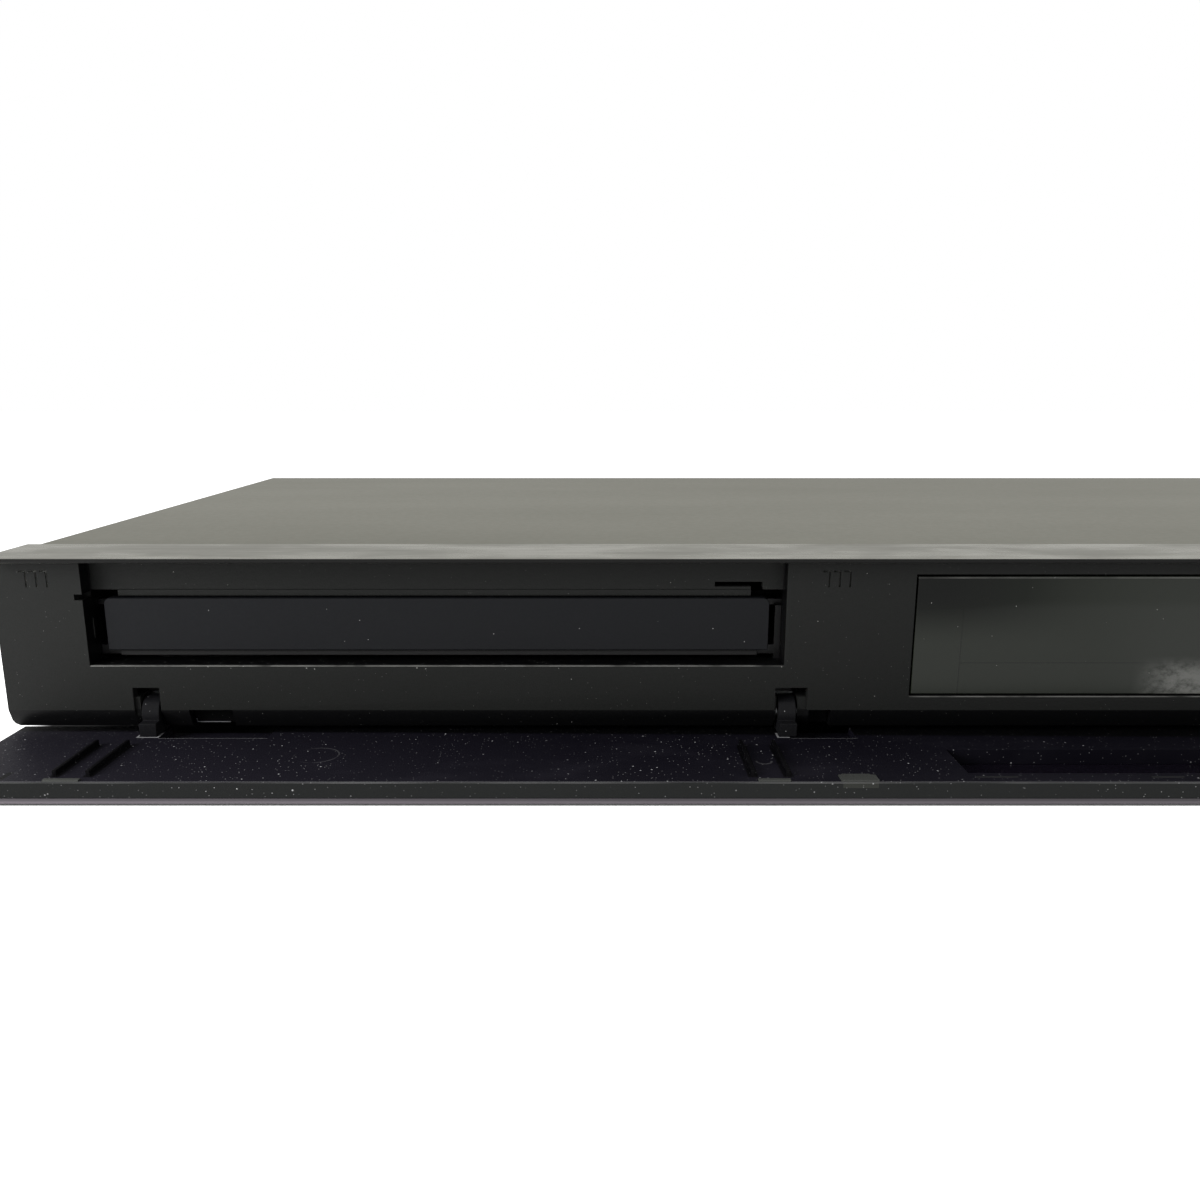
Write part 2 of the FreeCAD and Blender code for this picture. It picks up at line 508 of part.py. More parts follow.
def front_panel():
    wide = ("-case_half", "case_half")
    face = box(wide, ("0", "panel_wall"), ("face_bottom", "trim_bottom"))
    top = box(wide, ("0", "trim_rear"), ("trim_bottom - flange_thick", "trim_bottom"))
    shelf = box(wide, ("0", "shelf_rear"), ("face_bottom", "face_bottom + shelf_thick"))
    cheeks = []
    for side in ("-1 * ", ""):
        outer = f"{side}case_half"
        inner = f"{side}(case_half - cheek_wall)"
        low, high = (outer, inner) if side else (inner, outer)
        cheeks.append(box((low, high), ("0", "trim_rear"), ("cheek_z1", "trim_bottom")))
        corners = [(outer, "cheek_z1"), (f"{side}(case_half - cheek_in2)", "cheek_z2"),
                   (f"{side}(case_half - cheek_in3)", "cheek_z3"), (f"{side}(case_half - cheek_in4)",
                                                                    "cheek_z4"),
                   (f"{side}(case_half - cheek_in5)", "cheek_z4"), (inner, "cheek_z3"), (inner, "cheek_z1")]
        cheeks.append(bar("XZ_Plane", corners, "pan_front", "trim_rear - pan_front"))
        cheeks.append(box((low, high), ("0", "pan_front"), ("face_bottom", "cheek_z1")))
    lugs, bores = hinge_lugs()
    mouth = box(("drive_x - mouth_half", "drive_x + mouth_half"), ("-cut_past", "recess_deep"),
                ("mouth_bottom", "trim_bottom + cut_past"))
    opening = box(("window_left - right_shift - window_groove",
                   "window_right + right_shift + window_groove"),
                  ("-cut_past", "panel_wall + cut_past"), ("window_bottom - window_groove",
                                                           "window_top + window_groove"))
    bosses = []
    for middle in ("front_board_left + boss_in", "front_board_right + right_shift - boss_in"):
        for height in ("front_board_bottom + boss_in", "front_board_top - boss_in"):
            bosses.append(rod("y", (middle, "panel_wall", height), "boss_radius",
                              "front_board_y - panel_wall"))
    solid = join(face, top, shelf, *cheeks, chin())
    solid = cut(solid, mouth, opening, *hinge_slots(), *right_end_cuts(), *catch_cuts())
    solid = join(solid, panel_ring(), *lugs, *bosses)
    return node("front_panel", cut(solid, *recess_cuts(), *bores))


def display_window():
    left = "window_left - right_shift"
    right = "window_right + right_shift"
    lens = box((left, right), ("0", "panel_wall"), ("window_bottom", "window_top"))
    flange = box((f"{left} - window_flange", f"{right} + window_flange"),
                 ("panel_wall", "panel_wall + window_flange_thick"),
                 ("window_bottom - window_flange", "window_top + window_flange - window_groove"))
    return node("display_window", join(lens, flange))


def flap_frame():
    wide = ("-flap_half", "flap_half")
    plate = box(wide, ("flap_far", "flap_near"), ("shell_top", "flap_inner"))
    window = box(("flap_window_left - right_shift", "flap_window_right + right_shift"),
                 ("hinge_y - flap_window_far", "hinge_y - flap_window_near"), ("shell_top - cut_past",
                                                                               "flap_inner + cut_past"))
    notches = []
    for left, right in (("heel_notch_1", "heel_notch_2"), ("heel_notch_3", "heel_notch_4")):
        notches.append(box((f"{left} - right_shift", f"{right} - right_shift"),
                           ("flap_near - heel_notch_deep", "flap_near + cut_past"),
                           ("flap_inner - heel_notch_down", "flap_inner + cut_past")))
    ribs = []
    for middle in ("rib_1", "rib_2", "rib_3", "rib_4"):
        ribs.append(box((f"drive_x + {middle} - rib_thick / 2", f"drive_x + {middle} + rib_thick / 2"),
                        ("hinge_y - rib_tip", "hinge_y - rib_foot"), ("flap_inner",
                                                                      "flap_inner + rib_height")))
    return node("flap_frame", join(cut(plate, window, *notches), *ribs))


def flap_panel():
    return node("flap_panel", box(("-flap_half", "flap_half"), ("flap_far", "flap_near"),
                                  ("flap_lift", "shell_top")))


def flap_arms():
    names = ("left_flap_arm", "middle_flap_arm", "right_flap_arm")
    for name, left in zip(names, hinge_arms()):
        eye = rod("x", (left, "hinge_y", "hinge_z"), "arm_radius", "arm_wide")
        root = box((left, f"{left} + arm_wide"), ("hinge_y - arm_root", "flap_near"),
                   ("flap_inner", "hinge_z - arm_root_drop"))
        bore = rod("x", (f"{left} - cut_past", "hinge_y", "hinge_z"), "pin_radius + running_gap",
                   "arm_wide + 2 * cut_past")
        node(name, cut(join(eye, root), bore))


def hinge_pins():
    pins = []
    for left in hinge_arms():
        pins.append(rod("x", (f"{left} - lug_gap - lug_wide", "hinge_y", "hinge_z"), "pin_radius",
                        "arm_wide + 2 * lug_gap + 2 * lug_wide"))
    return node("flap_hinge_pins", group(*pins))


def side_vents(sign, rows):
    """Upright slots through one side wall of the cover."""
    cuts = []
    low, high = ("-1 * cover_half - cut_past", "-1 * pan_half") if sign < 0 else ("pan_half",
                                                                                  "cover_half + cut_past")
    for row in range(int(value(rows))):
        start = f"vent_y + {row} * vent_pitch"
        cuts.append(box((low, high), (start, f"{start} + vent_wide"), ("vent_z - vent_long / 2",
                                                                     "vent_z + vent_long / 2")))
    return cuts


def top_cover():
    inner = "cover_half - cover_sheet"
    corners = [("-cover_half", "cover_bottom"), ("-cover_half", "cover_z"), ("cover_half", "cover_z"),
               ("cover_half", "cover_bottom"), (inner, "cover_bottom"), (inner, "cover_z - cover_sheet"),
               (f"-1 * ({inner})", "cover_z - cover_sheet"), (f"-1 * ({inner})", "cover_bottom")]
    body = bar("XZ_Plane", corners, "cover_front", "rear_face + cover_overhang - cover_front")
    top = value("cover_z")
    soften(body, "cover_bend", lambda along, middle: abs(along.y) > 0.9 and abs(middle.z - top) < 0.01)
    holes = []
    for low, high in (("-1 * cover_half - cut_past", "-1 * pan_half"), ("pan_half",
                                                                        "cover_half + cut_past")):
        for place in ("case_screw_y1", "case_screw_y2"):
            holes.append(rod("x", (low, place, "case_screw_z"), "screw_radius + running_gap",
                             f"({high}) - ({low})"))
    vents = side_vents(-1, "left_vents") + side_vents(1, "right_vents")
    return node("top_cover", cut(body, *holes, *vents))


def drive_posts():
    """Middles of the four posts that carry the drive's dampers."""
    return [(f"drive_x + {side} * (drive_half + ear_reach / 2)", place)
            for side in (-1, 1) for place in ("ear_y1", "ear_y2")]


def main_standoffs():
    return [(x, y) for x in ("main_left + standoff_in", "main_right - standoff_in")
            for y in ("main_front + standoff_in", "rear_inner - main_rear_post")]


def power_standoffs():
    return [(x, y) for x in ("power_left + right_shift + standoff_in",
                             "pan_half - right_margin - standoff_in")
            for y in ("power_front + standoff_in", "rear_inner - power_rear_gap - standoff_in")]


def chassis_base():
    floor = box(("-pan_half", "pan_half"), ("pan_front", "rear_inner"), ("floor_height", "pan_floor"))
    front = box(("-pan_half", "pan_half"), ("pan_front", "pan_front + sheet"), ("pan_floor",
                                                                                "pan_front_top"))
    sides = []
    for low, high in (("-pan_half", "sheet - pan_half"), ("pan_half - sheet", "pan_half")):
        sides.append(box((low, high), ("trim_rear + fit_gap", "rear_inner"), ("pan_floor", "pan_side_top")))
        sides.append(box((low, high), ("pan_front", "trim_rear + fit_gap"), ("pan_floor", "pan_front_top")))
    posts = []
    bores = []
    for x, y in drive_posts():
        posts.append(rod("z", (x, y, "pan_floor"), "post_radius", "damper_bottom - pan_floor"))
        bores.append(rod("z", (x, y, "pan_floor"), "screw_radius + thread_gap", "damper_bottom"))
    for x, y in main_standoffs() + power_standoffs():
        posts.append(rod("z", (x, y, "pan_floor"), "standoff_radius", "board_z - pan_floor"))
        bores.append(rod("z", (x, y, "pan_floor"), "screw_radius + thread_gap", "board_z"))
    for low, high in (("-pan_half - cut_past", "sheet - pan_half + cut_past"),
                      ("pan_half - sheet - cut_past", "pan_half + cut_past")):
        for place in ("case_screw_y1", "case_screw_y2"):
            bores.append(rod("x", (low, place, "case_screw_z"), "screw_radius + thread_gap",
                             f"({high}) - ({low})"))
    vents = []
    for row in range(int(value("floor_vents"))):
        start = f"floor_vent_x + right_shift + {row} * floor_vent_pitch"
        vents.append(box((start, f"{start} + vent_wide"), ("vent_y", "vent_y + floor_vent_long"),
                         ("floor_height - cut_past", "pan_floor + cut_past")))
    for side in (-1, 1):
        for place in ("foot_front_y", "foot_rear_y"):
            bores.append(rod("z", (f"{side} * (foot_x + right_shift)", place, "floor_height - cut_past"),
                             "foot_stud + running_gap", "sheet + 2 * cut_past"))
    return node("chassis_base", cut(join(floor, front, *sides, *posts), *bores, *vents))


def rear_openings():
    """Holes in the rear panel for the sockets, the terminals and the fan."""
    deep = ("rear_inner - cut_past", "rear_face + cut_past")
    holes = []
    for x in ("terminal_x1", "terminal_x2"):
        for z in ("terminal_z1", "terminal_z2"):
            holes.append(rod("y", (x, "rear_inner - cut_past", z), "terminal_radius + terminal_hole",
                             "rear_thick + 2 * cut_past"))
    for left, wide, tall in (("lan_left", "lan_wide", "lan_tall"),
                             ("rear_usb_left", "rear_usb_wide", "rear_usb_tall"),
                             ("hdmi_left", "hdmi_wide", "hdmi_tall")):
        holes.append(box((f"{left} - cut_gap", f"{left} + {wide} + cut_gap"), deep,
                         ("board_top - cut_gap", f"board_top + {tall} + cut_gap")))
    inlet = "inlet_x + right_shift"
    holes.append(box((f"{inlet} - inlet_wide / 2 - cut_gap", f"{inlet} + inlet_wide / 2 + cut_gap"), deep,
                     ("board_top + inlet_rise - cut_gap", "board_top + inlet_rise + inlet_tall + cut_gap")))
    middle = "fan_left + right_shift + fan_size / 2"
    rows = int(value("grille_rows"))
    for row in range(rows):
        rise = f"({row} - (grille_rows - 1) / 2) * grille_pitch"
        half = f"sqrt(grille_radius ^ 2 - ({rise}) ^ 2)"
        low = f"fan_z + fan_size / 2 + {rise} - grille_slot / 2"
        holes.append(box((f"{middle} - {half}", f"{middle} + {half}"), deep, (low, f"{low} + grille_slot")))
    for side in (-1, 0, 1):
        holes.append(rod("y", (f"{side} * (rear_screw_x + right_shift)", "rear_inner - cut_past",
                               "rear_screw_z"),
                         "screw_radius + thread_gap", "rear_thick + 2 * cut_past"))
    return holes


def rear_panel():
    plate = box(("-pan_half", "pan_half"), ("rear_inner", "rear_face"), ("floor_height", "rear_top"))
    return node("rear_panel", cut(plate, *rear_openings()))


def feet():
    for name, place in (("front_feet", "foot_front_y"), ("rear_feet", "foot_rear_y")):
        pair = []
        for side in (-1, 1):
            corners = [("0", "foot_pad_deep"), ("foot_pad_radius", "foot_pad_deep"), ("foot_pad_radius",
                                                                                      "0"),
                       ("foot_radius - foot_edge", "0"), ("foot_radius", "foot_edge"),
                       ("foot_radius", "floor_height"), ("foot_stud", "floor_height"),
                       ("foot_stud", "floor_height + foot_stud_tall"), ("0",
                                                                        "floor_height + foot_stud_tall")]
            pair.append(turned("z", (f"{side} * (foot_x + right_shift)", place, "0"), corners))
        node(name, group(*pair))


def case_screws():
    """Side and rear screws of the cover, heads outside."""
    screws = []
    for side in (-1, 1):
        for place in ("case_screw_y1", "case_screw_y2"):
            shank_start = "cover_half - screw_long" if side > 0 else "-cover_half"
            head_start = "cover_half" if side > 0 else "-cover_half - screw_head_tall"
            screws.append(join(rod("x", (shank_start, place, "case_screw_z"), "screw_radius", "screw_long"),
                               rod("x", (head_start, place, "case_screw_z"), "screw_head",
                                   "screw_head_tall")))
    for side in (-1, 0, 1):
        place = f"{side} * (rear_screw_x + right_shift)"
        screws.append(join(rod("y", (place, "rear_face - screw_long", "rear_screw_z"), "screw_radius",
                               "screw_long"),
                           rod("y", (place, "rear_face", "rear_screw_z"), "screw_head", "screw_head_tall")))
    return node("case_screws", group(*screws))


def button(name, middle):
    x = f"{middle} + right_shift"
    cap = bar("XZ_Plane", [(f"{x} - button_half", "button_z - button_tall"),
                           (f"{x} + button_half", "button_z - button_tall"),
                           (f"{x} + button_half", "button_z + button_tall"),
                           (f"{x} - button_half", "button_z + button_tall")], "0", "panel_wall + fit_gap")
    soften(cap, "button_corner", lambda along, middle: abs(along.y) > 0.9)
    start = "panel_wall + fit_gap"
    flange = box((f"{x} - button_half - button_flange", f"{x} + button_half + button_flange"),
                 (start, f"{start} + button_flange_thick"),
                 ("button_z - button_tall - button_flange", "button_z + button_tall + button_flange"))
    stem = rod("y", (x, f"{start} + button_flange_thick", "button_z"), "button_stem",
               f"front_board_y - switch_deep - button_travel - fit_gap - ({start} + button_flange_thick)")
    return node(name, join(cap, flange, stem))


def front_usb_socket():
    x = "usb_x + right_shift"
    shell = box((f"{x} - usb_half", f"{x} + usb_half"), ("usb_front", "front_board_y"),
                ("usb_z - usb_tall", "usb_z + usb_tall"))
    mouth = box((f"{x} - usb_half + usb_wall", f"{x} + usb_half - usb_wall"), ("usb_front - cut_past",
                                                                               "usb_front + usb_deep"),
                ("usb_z - usb_tall + usb_wall", "usb_z + usb_tall - usb_wall"))
    tongue = box((f"{x} - usb_tongue_half", f"{x} + usb_tongue_half"), ("usb_front + cut_past",
                                                                        "usb_front + usb_deep"),
                 ("usb_z + usb_tall - usb_wall - 3 * usb_tongue",
                  "usb_z + usb_tall - usb_wall - usb_tongue"))
    return node("front_usb_socket", join(cut(shell, mouth), tongue))


def card_slot():
    x = "card_x + right_shift"
    case = box((f"{x} - card_half", f"{x} + card_half"), ("panel_wall + fit_gap", "card_rear"),
               ("card_z - card_tall", "card_z + card_tall"))
    mouth = box((f"{x} - card_slot_half", f"{x} + card_slot_half"), ("panel_wall", "card_rear - cut_past"),
                ("card_z - card_slot_tall", "card_z + card_slot_tall"))
    return node("card_slot", cut(case, mouth))


def front_board():
    """Upright board behind the panel, with the two switches."""
    plate = box(("front_board_left", "front_board_right + right_shift"),
                ("front_board_y", "front_board_y + board_thick"), ("front_board_bottom", "front_board_top"))
    x = "card_x + right_shift"
    notch = box((f"{x} - card_half - fit_gap", f"{x} + card_half + fit_gap"),
                ("front_board_y - cut_past", "front_board_y + board_thick + cut_past"),
                ("card_z - card_tall - fit_gap", "card_z + card_tall + fit_gap"))
    switches = []
    for middle in ("power_x + right_shift", "open_x + right_shift"):
        switches.append(box((f"{middle} - switch_half", f"{middle} + switch_half"),
                            ("front_board_y - switch_deep", "front_board_y"),
                            ("button_z - switch_half", "button_z + switch_half")))
    return node("front_board", join(cut(plate, notch), *switches))


def display_module():
    return node("display_module", box(("glass_left", "glass_right"), ("glass_front", "front_board_y"),
                                      ("glass_bottom", "glass_top")))


def drive_frame():
    left = "drive_x - drive_half"
    right = "drive_x + drive_half"
    long = ("drive_front", "drive_rear")
    floor = box((left, right), long, ("drive_floor", "drive_floor + drive_floor_thick"))
    window = box(("drive_x - window_half_drive", "drive_x + window_half_drive"),
                 ("window_front_drive", "window_rear_drive"),
                 ("drive_floor - cut_past", "drive_floor + drive_floor_thick + cut_past"))
    parts = [cut(floor, window)]
    for side in (-1, 1):
        outer = f"drive_x + {side} * drive_half"
        inner = f"drive_x + {side} * (drive_half - drive_wall)"
        walls = (outer, inner) if side < 0 else (inner, outer)
        parts.append(box(walls, long, ("drive_skirt", "drive_top")))
        ledge = (inner, f"drive_x - ledge_half") if side < 0 else ("drive_x + ledge_half", inner)
        parts.append(box(ledge, long, ("ledge_bottom", "ledge_top")))
        guide = (inner, f"drive_x - guide_in") if side < 0 else ("drive_x + guide_in", inner)
        for start in ("guide_1_y", "guide_2_y"):
            parts.append(box(guide, (start, f"{start} + guide_long"),
                             ("guide_bottom", "guide_bottom + guide_thick")))
        seat = (inner, f"drive_x - seat_in") if side < 0 else ("drive_x + seat_in", inner)
        parts.append(box(seat, ("bridge_front", "bridge_front + bridge_wide"), ("bridge_z - seat_thick",
                                                                                "bridge_z")))
        block_low, block_high = ("window_half_drive", "(window_half_drive + pivot_block)")
        block = (f"drive_x - {block_high}", f"drive_x - {block_low}") if side < 0 else (
            f"drive_x + {block_low}", f"drive_x + {block_high}")
        parts.append(box(block, ("pivot_y - pivot_ear_half", "pivot_y + pivot_ear_half"),
                         ("drive_floor", "pivot_z + pivot_ear_half")))
        start = f"drive_x - {block_high}"
        if side > 0:
            start = "drive_x + traverse_half - pivot_ear + pivot_tip_gap"
        parts.append(rod("x", (start, "pivot_y", "pivot_z"), "pivot_radius",
                         "pivot_block + window_half_drive - traverse_half + pivot_ear - pivot_tip_gap"))
    parts.append(box((left, right), ("drive_rear - drive_wall", "drive_rear"), ("drive_skirt", "drive_top")))
    parts.append(box((left, right), ("drive_front", "drive_front + beam_thick"), ("drive_skirt",
                                                                                  "beam_top")))
    parts.append(box(("drive_x + post_in", "drive_x + drive_half - drive_wall"),
                     ("drive_front", "drive_front + beam_thick"), ("drive_floor", "post_top")))
    parts.append(box(("drive_x - web_half", "drive_x + web_half"),
                     ("web_y", "web_y + web_thick"), ("drive_skirt", "web_top")))
    parts.append(rod("z", ("drive_x + gear_x", "gear_y", "drive_floor"), "gear_post_radius",
                     "gear_top - drive_floor"))
    ears = []
    holes = []
    for x, y in drive_posts():
        ears.append(box((f"{x} - ear_reach / 2", f"{x} + ear_reach / 2"), (f"{y} - ear_half",
                                                                           f"{y} + ear_half"),
                        ("drive_floor", "drive_floor + drive_floor_thick")))
        holes.append(rod("z", (x, y, "drive_floor - cut_past"), "screw_radius + ear_hole_gap",
                         "drive_floor_thick + 2 * cut_past"))
    holes.append(rod("z", ("drive_x + motor_x", "gear_y", "drive_floor - cut_past"),
                     "motor_shaft + cut_past",
                     "drive_floor_thick + 2 * cut_past"))
    return node("drive_frame", cut(join(*parts, *ears), *holes))


def drive_dampers():
    """Rubber bushes between the pan's posts and the drive's ears."""
    bushes = []
    for x, y in drive_posts():
        outer = rod("z", (x, y, "damper_bottom"), "damper_radius", "drive_floor - damper_bottom")
        bore = rod("z", (x, y, "damper_bottom - cut_past"), "screw_radius + running_gap", "drive_floor")
        bushes.append(cut(outer, bore))
    return node("drive_dampers", group(*bushes))


def upright_screw(x, y, seat, long):
    """A pan-head screw standing upright, head on a seat."""
    shank = rod("z", (x, y, f"{seat} - ({long})"), "screw_radius", long)
    head = rod("z", (x, y, seat), "screw_head", "pan_head_tall")
    return join(shank, head)


def drive_screws():
    seat = "drive_floor + drive_floor_thick"
    screws = [upright_screw(x, y, seat, f"{seat} - pan_floor - screw_end_gap") for x, y in drive_posts()]
    return node("drive_screws", group(*screws))


def board_screws():
    screws = [upright_screw(x, y, "board_top", "board_screw_long") for x,
              y in main_standoffs() + power_standoffs()]
    return node("board_screws", group(*screws))


def rack_outline():
    """Teeth along the tray's left rail that mesh with the loading gear."""
    pitch = math.pi * value("gear_module")
    half = pitch * value("gear_tooth_share") / 2
    line = value("drive_x") + value("rack_pitch_x")
    tip_x = line + value("gear_addendum")
    root_x = line - value("gear_dedendum")
    back_x = value("drive_x") - value("rack_back")
    start = value("face_y") + value("rack_front")
    end = value("face_y") + value("rack_rear")
    gear_y = value("face_y") + value("gear_y")
    slope = math.tan(math.radians(20))
    points = [Vector(back_x, start), Vector(root_x, start)]
    first = math.ceil((start + half * 2 - gear_y) / pitch - 0.5)
    last = math.floor((end - half * 2 - gear_y) / pitch - 0.5)
    for tooth in range(first, last + 1):
        middle = gear_y + (tooth + 0.5) * pitch
        root_half = half + slope * value("gear_dedendum")
        tip_half = half - slope * value("gear_addendum")
        points.append(Vector(root_x, middle - root_half))
        points.append(Vector(tip_x, middle - tip_half))
        points.append(Vector(tip_x, middle + tip_half))
        points.append(Vector(root_x, middle + root_half))
    points.append(Vector(root_x, end))
    points.append(Vector(back_x, end))
    return points


def gear_outline():
    """Fourteen plain teeth; one points at the rack."""
    teeth = int(value("gear_teeth"))
    radius = value("gear_module") * teeth / 2
    half = math.pi * value("gear_module") * value("gear_tooth_share") / 2
    slope = math.tan(math.radians(20))
    points = []
    for tooth in range(teeth):
        middle = math.pi + 2 * math.pi * tooth / teeth
        for reach, side in ((-value("gear_dedendum"), -1), (value("gear_addendum"), -1),
                            (value("gear_addendum"), 1), (-value("gear_dedendum"), 1)):
            across = side * (half - slope * reach)
            turn = middle + across / radius
            points.append(Vector((radius + reach) * math.cos(turn), (radius + reach) * math.sin(turn)))
    return points


def toothed(points, place, bottom, tall):
    """An outline of computed teeth, made solid upward."""
    wire = Part.makePolygon(points + [points[0]])
    item = new("Part::Feature")
    item.Shape = Part.Face(wire).extrude(Vector(0, 0, tall))
    item.Placement = Placement(Vector(place[0], place[1], bottom), Rotation())
    return item


def disc_tray():
    left = "drive_x - tray_half"
    right = "drive_x + tray_half"
    start = "door_front + door_thick"
    slab = box((left, right), (start, "tray_rear"), ("tray_bottom", "tray_top"))
    under = box((f"{left} + tray_rim", f"{right} - tray_rim"), (f"{start} + tray_rim",
                                                                "tray_rear + cut_past"),
                ("tray_bottom - cut_past", "tray_under"))
    recess = rod("z", ("drive_x", "disc_y", "disc_recess_floor"), "disc_recess_radius", "tray_top")
    small = rod("z", ("drive_x", "disc_y", "disc_recess_floor - small_recess_deep"), "small_recess_radius",
                "tray_top")
    slot = box(("drive_x - tray_slot_half", "drive_x + tray_slot_half"), ("disc_y", "tray_rear + cut_past"),
               ("tray_bottom - cut_past", "tray_top + cut_past"))
    slot_end = rod("z", ("drive_x", "disc_y", "tray_bottom - cut_past"), "tray_slot_front", "tray_top")
    rack = toothed(rack_outline(), (0, 0), value("rack_bottom"), value("rack_top - rack_bottom"))
    return node("disc_tray", join(cut(slab, under, recess, small, slot, slot_end), rack))


def tray_door():
    x = "drive_x"
    face = bar("XZ_Plane", [(f"{x} - door_half", "door_bottom"), (f"{x} + door_half", "door_bottom"),
                            (f"{x} + door_half", "door_top"), (f"{x} - door_half", "door_top")],
               "door_front", "door_thick")
    top = value("door_top")
    soften(face, "door_corner", lambda along, middle: abs(along.y) > 0.9 and abs(middle.z - top) < 0.01)
    ledge = box((f"{x} - door_ledge_half", f"{x} + door_ledge_half"),
                ("door_ledge_front", "door_front + door_thick"), ("door_ledge_bottom", "door_bottom"))
    return node("tray_door", join(face, ledge))


def grooved(place, radius, bottom, top, bore):
    """A pulley with a square groove for the belt."""
    x, y = place
    rim = rod("z", (x, y, bottom), radius, f"({top}) - ({bottom})")
    ring = cut(rod("z", (x, y, "belt_z - groove_tall / 2"), f"({radius}) + cut_past", "groove_tall"),
               rod("z", (x, y, "belt_z - groove_tall"), f"({radius}) - groove_deep", "2 * groove_tall"))
    return cut(rim, ring, rod("z", (x, y, f"{bottom} - cut_past"), bore,
                              f"({top}) - ({bottom}) + 2 * cut_past"))


def loading_gear():
    place = ("drive_x + gear_x", "gear_y")
    wheel = grooved(place, "pulley_radius", "pulley_bottom", "gear_bottom", "gear_post_radius + running_gap")
    points = gear_outline()
    pinion = toothed(points, (value("drive_x + gear_x"), value("face_y + gear_y")), value("gear_bottom"),
                     value("gear_top - gear_bottom"))
    bore = rod("z", (place[0], place[1], "gear_bottom - cut_past"), "gear_post_radius + running_gap",
               "gear_top")
    return node("loading_gear", join(wheel, cut(pinion, bore)))


def motor_pulley():
    place = ("drive_x + motor_x", "gear_y")
    wheel = grooved(place, "motor_pulley_radius", "pulley_bottom", "gear_bottom", "motor_shaft / 2")
    shaft = rod("z", (place[0], place[1], "motor_bottom + shaft_end"), "motor_shaft",
                "motor_shaft_top - motor_bottom - shaft_end")
    return node("motor_pulley", join(wheel, shaft))


def loading_motor():
    place = ("drive_x + motor_x", "gear_y")
    case = rod("z", (place[0], place[1], "motor_bottom"), "motor_radius", "drive_floor - motor_bottom")
    bore = rod("z", (place[0], place[1], "motor_bottom + shaft_end - running_gap"),
               "motor_shaft + running_gap",
               "drive_floor")
    return node("loading_motor", cut(case, bore))


def loop_face(first, first_radius, second, second_radius):
    """The face inside a belt's path around two wheels on a line along X."""
    span = second.x - first.x
    lean = math.acos((first_radius - second_radius) / span)
    def at(middle, radius, turn):
        return middle + Vector(radius * math.cos(turn), radius * math.sin(turn))
    wide = [at(first, first_radius, turn) for turn in (lean, math.pi, -lean)]
    small = [at(second, second_radius, turn) for turn in (-lean, 0, lean)]
    edges = [Part.Arc(*wide).toShape(), Part.makeLine(wide[2], small[0]), Part.Arc(*small).toShape(),
             Part.makeLine(small[2], wide[0])]
    return Part.Face(Part.Wire(edges))


def drive_belt():
    y = value("face_y + gear_y")
    z = value("belt_z - belt_tall / 2")
    wheel = Vector(value("drive_x + gear_x"), y, z)
    small = Vector(value("drive_x + motor_x"), y, z)
    wheel_inner = value("pulley_radius - groove_deep + belt_gap")
    small_inner = value("motor_pulley_radius - groove_deep + belt_gap")
    thick = value("belt_thick")
    tall = Vector(0, 0, value("belt_tall"))
    outer = loop_face(wheel, wheel_inner + thick, small, small_inner + thick).extrude(tall)
    inner = loop_face(wheel, wheel_inner, small, small_inner).extrude(tall)
    item = new("Part::Feature")
    item.Shape = outer.cut(inner)
    return node("drive_belt", item)


def traverse_chassis():
    left = "drive_x - traverse_half"
    right = "drive_x + traverse_half"
    high = ("traverse_z", "traverse_z + traverse_thick")
    through = ("traverse_z - cut_past", "traverse_z + traverse_thick + cut_past")
    plate = box((left, right), ("traverse_front", "traverse_rear"), high)
    cuts = [box(("drive_x - sled_window_left", "drive_x + sled_window_right"),
                ("sled_window_front", "sled_window_rear"), through),
            box(("drive_x + screw_x - sled_motor_radius - fit_gap",
                 "drive_x + screw_x + sled_motor_radius + fit_gap"),
                ("sled_window_rear - cut_past", "traverse_rear + cut_past"), through),
            rod("z", ("drive_x", "disc_y", "traverse_z - cut_past"), "hub_radius + fit_gap",
                "traverse_thick + 2 * cut_past")]
    parts = [cut(plate, *cuts)]
    bores = []
    for side in (-1, 1):
        ear = (left, f"{left} + pivot_ear") if side < 0 else (f"{right} - pivot_ear", right)
        parts.append(box(ear, ("pivot_y - pivot_ear_half", "pivot_y + pivot_ear_half"),
                         ("traverse_z", "pivot_z + pivot_ear_half")))
        bores.append(rod("x", (f"{ear[0]} - cut_past", "pivot_y", "pivot_z"), "pivot_radius + running_gap",
                         "pivot_ear + 2 * cut_past"))
        for start in ("rod_front", "rod_rear - holder_long"):
            rod_x = f"drive_x + {side} * rod_x"
            parts.append(box((f"{rod_x} - holder_half", f"{rod_x} + holder_half"),
                             (start, f"{start} + holder_long"), ("traverse_z", "holder_top")))
            bores.append(rod("y", (rod_x, f"{start} - cut_past", "rod_z"), "rod_radius + pin_press",
                             "holder_long + 2 * cut_past"))
    for place in ("cam_pin_1", "cam_pin_2"):
        parts.append(rod("y", (f"drive_x + {place}", "cam_y - cam_pin_out", "pivot_z"), "cam_pin_radius",
                         "traverse_front + cam_block_half - cam_y + cam_pin_out"))
        parts.append(box((f"drive_x + {place} - cam_block_half", f"drive_x + {place} + cam_block_half"),
                         ("traverse_front", "traverse_front + 2 * cam_block_half"),
                         ("pivot_z - cam_block_half", "pivot_z + cam_block_half")))
    screw_x = "drive_x + screw_x"
    parts.append(box((f"{screw_x} - screw_block_half", f"{screw_x} + screw_block_half"),
                     ("rod_front", "rod_front + holder_long"),
                     ("screw_z - screw_block_half", "screw_z + screw_block_half")))
    bores.append(rod("y", (screw_x, "rod_front - cut_past", "screw_z"), "lead_radius + running_gap",
                     "holder_long + 2 * cut_past"))
    return node("traverse_chassis", cut(join(*parts), *bores))


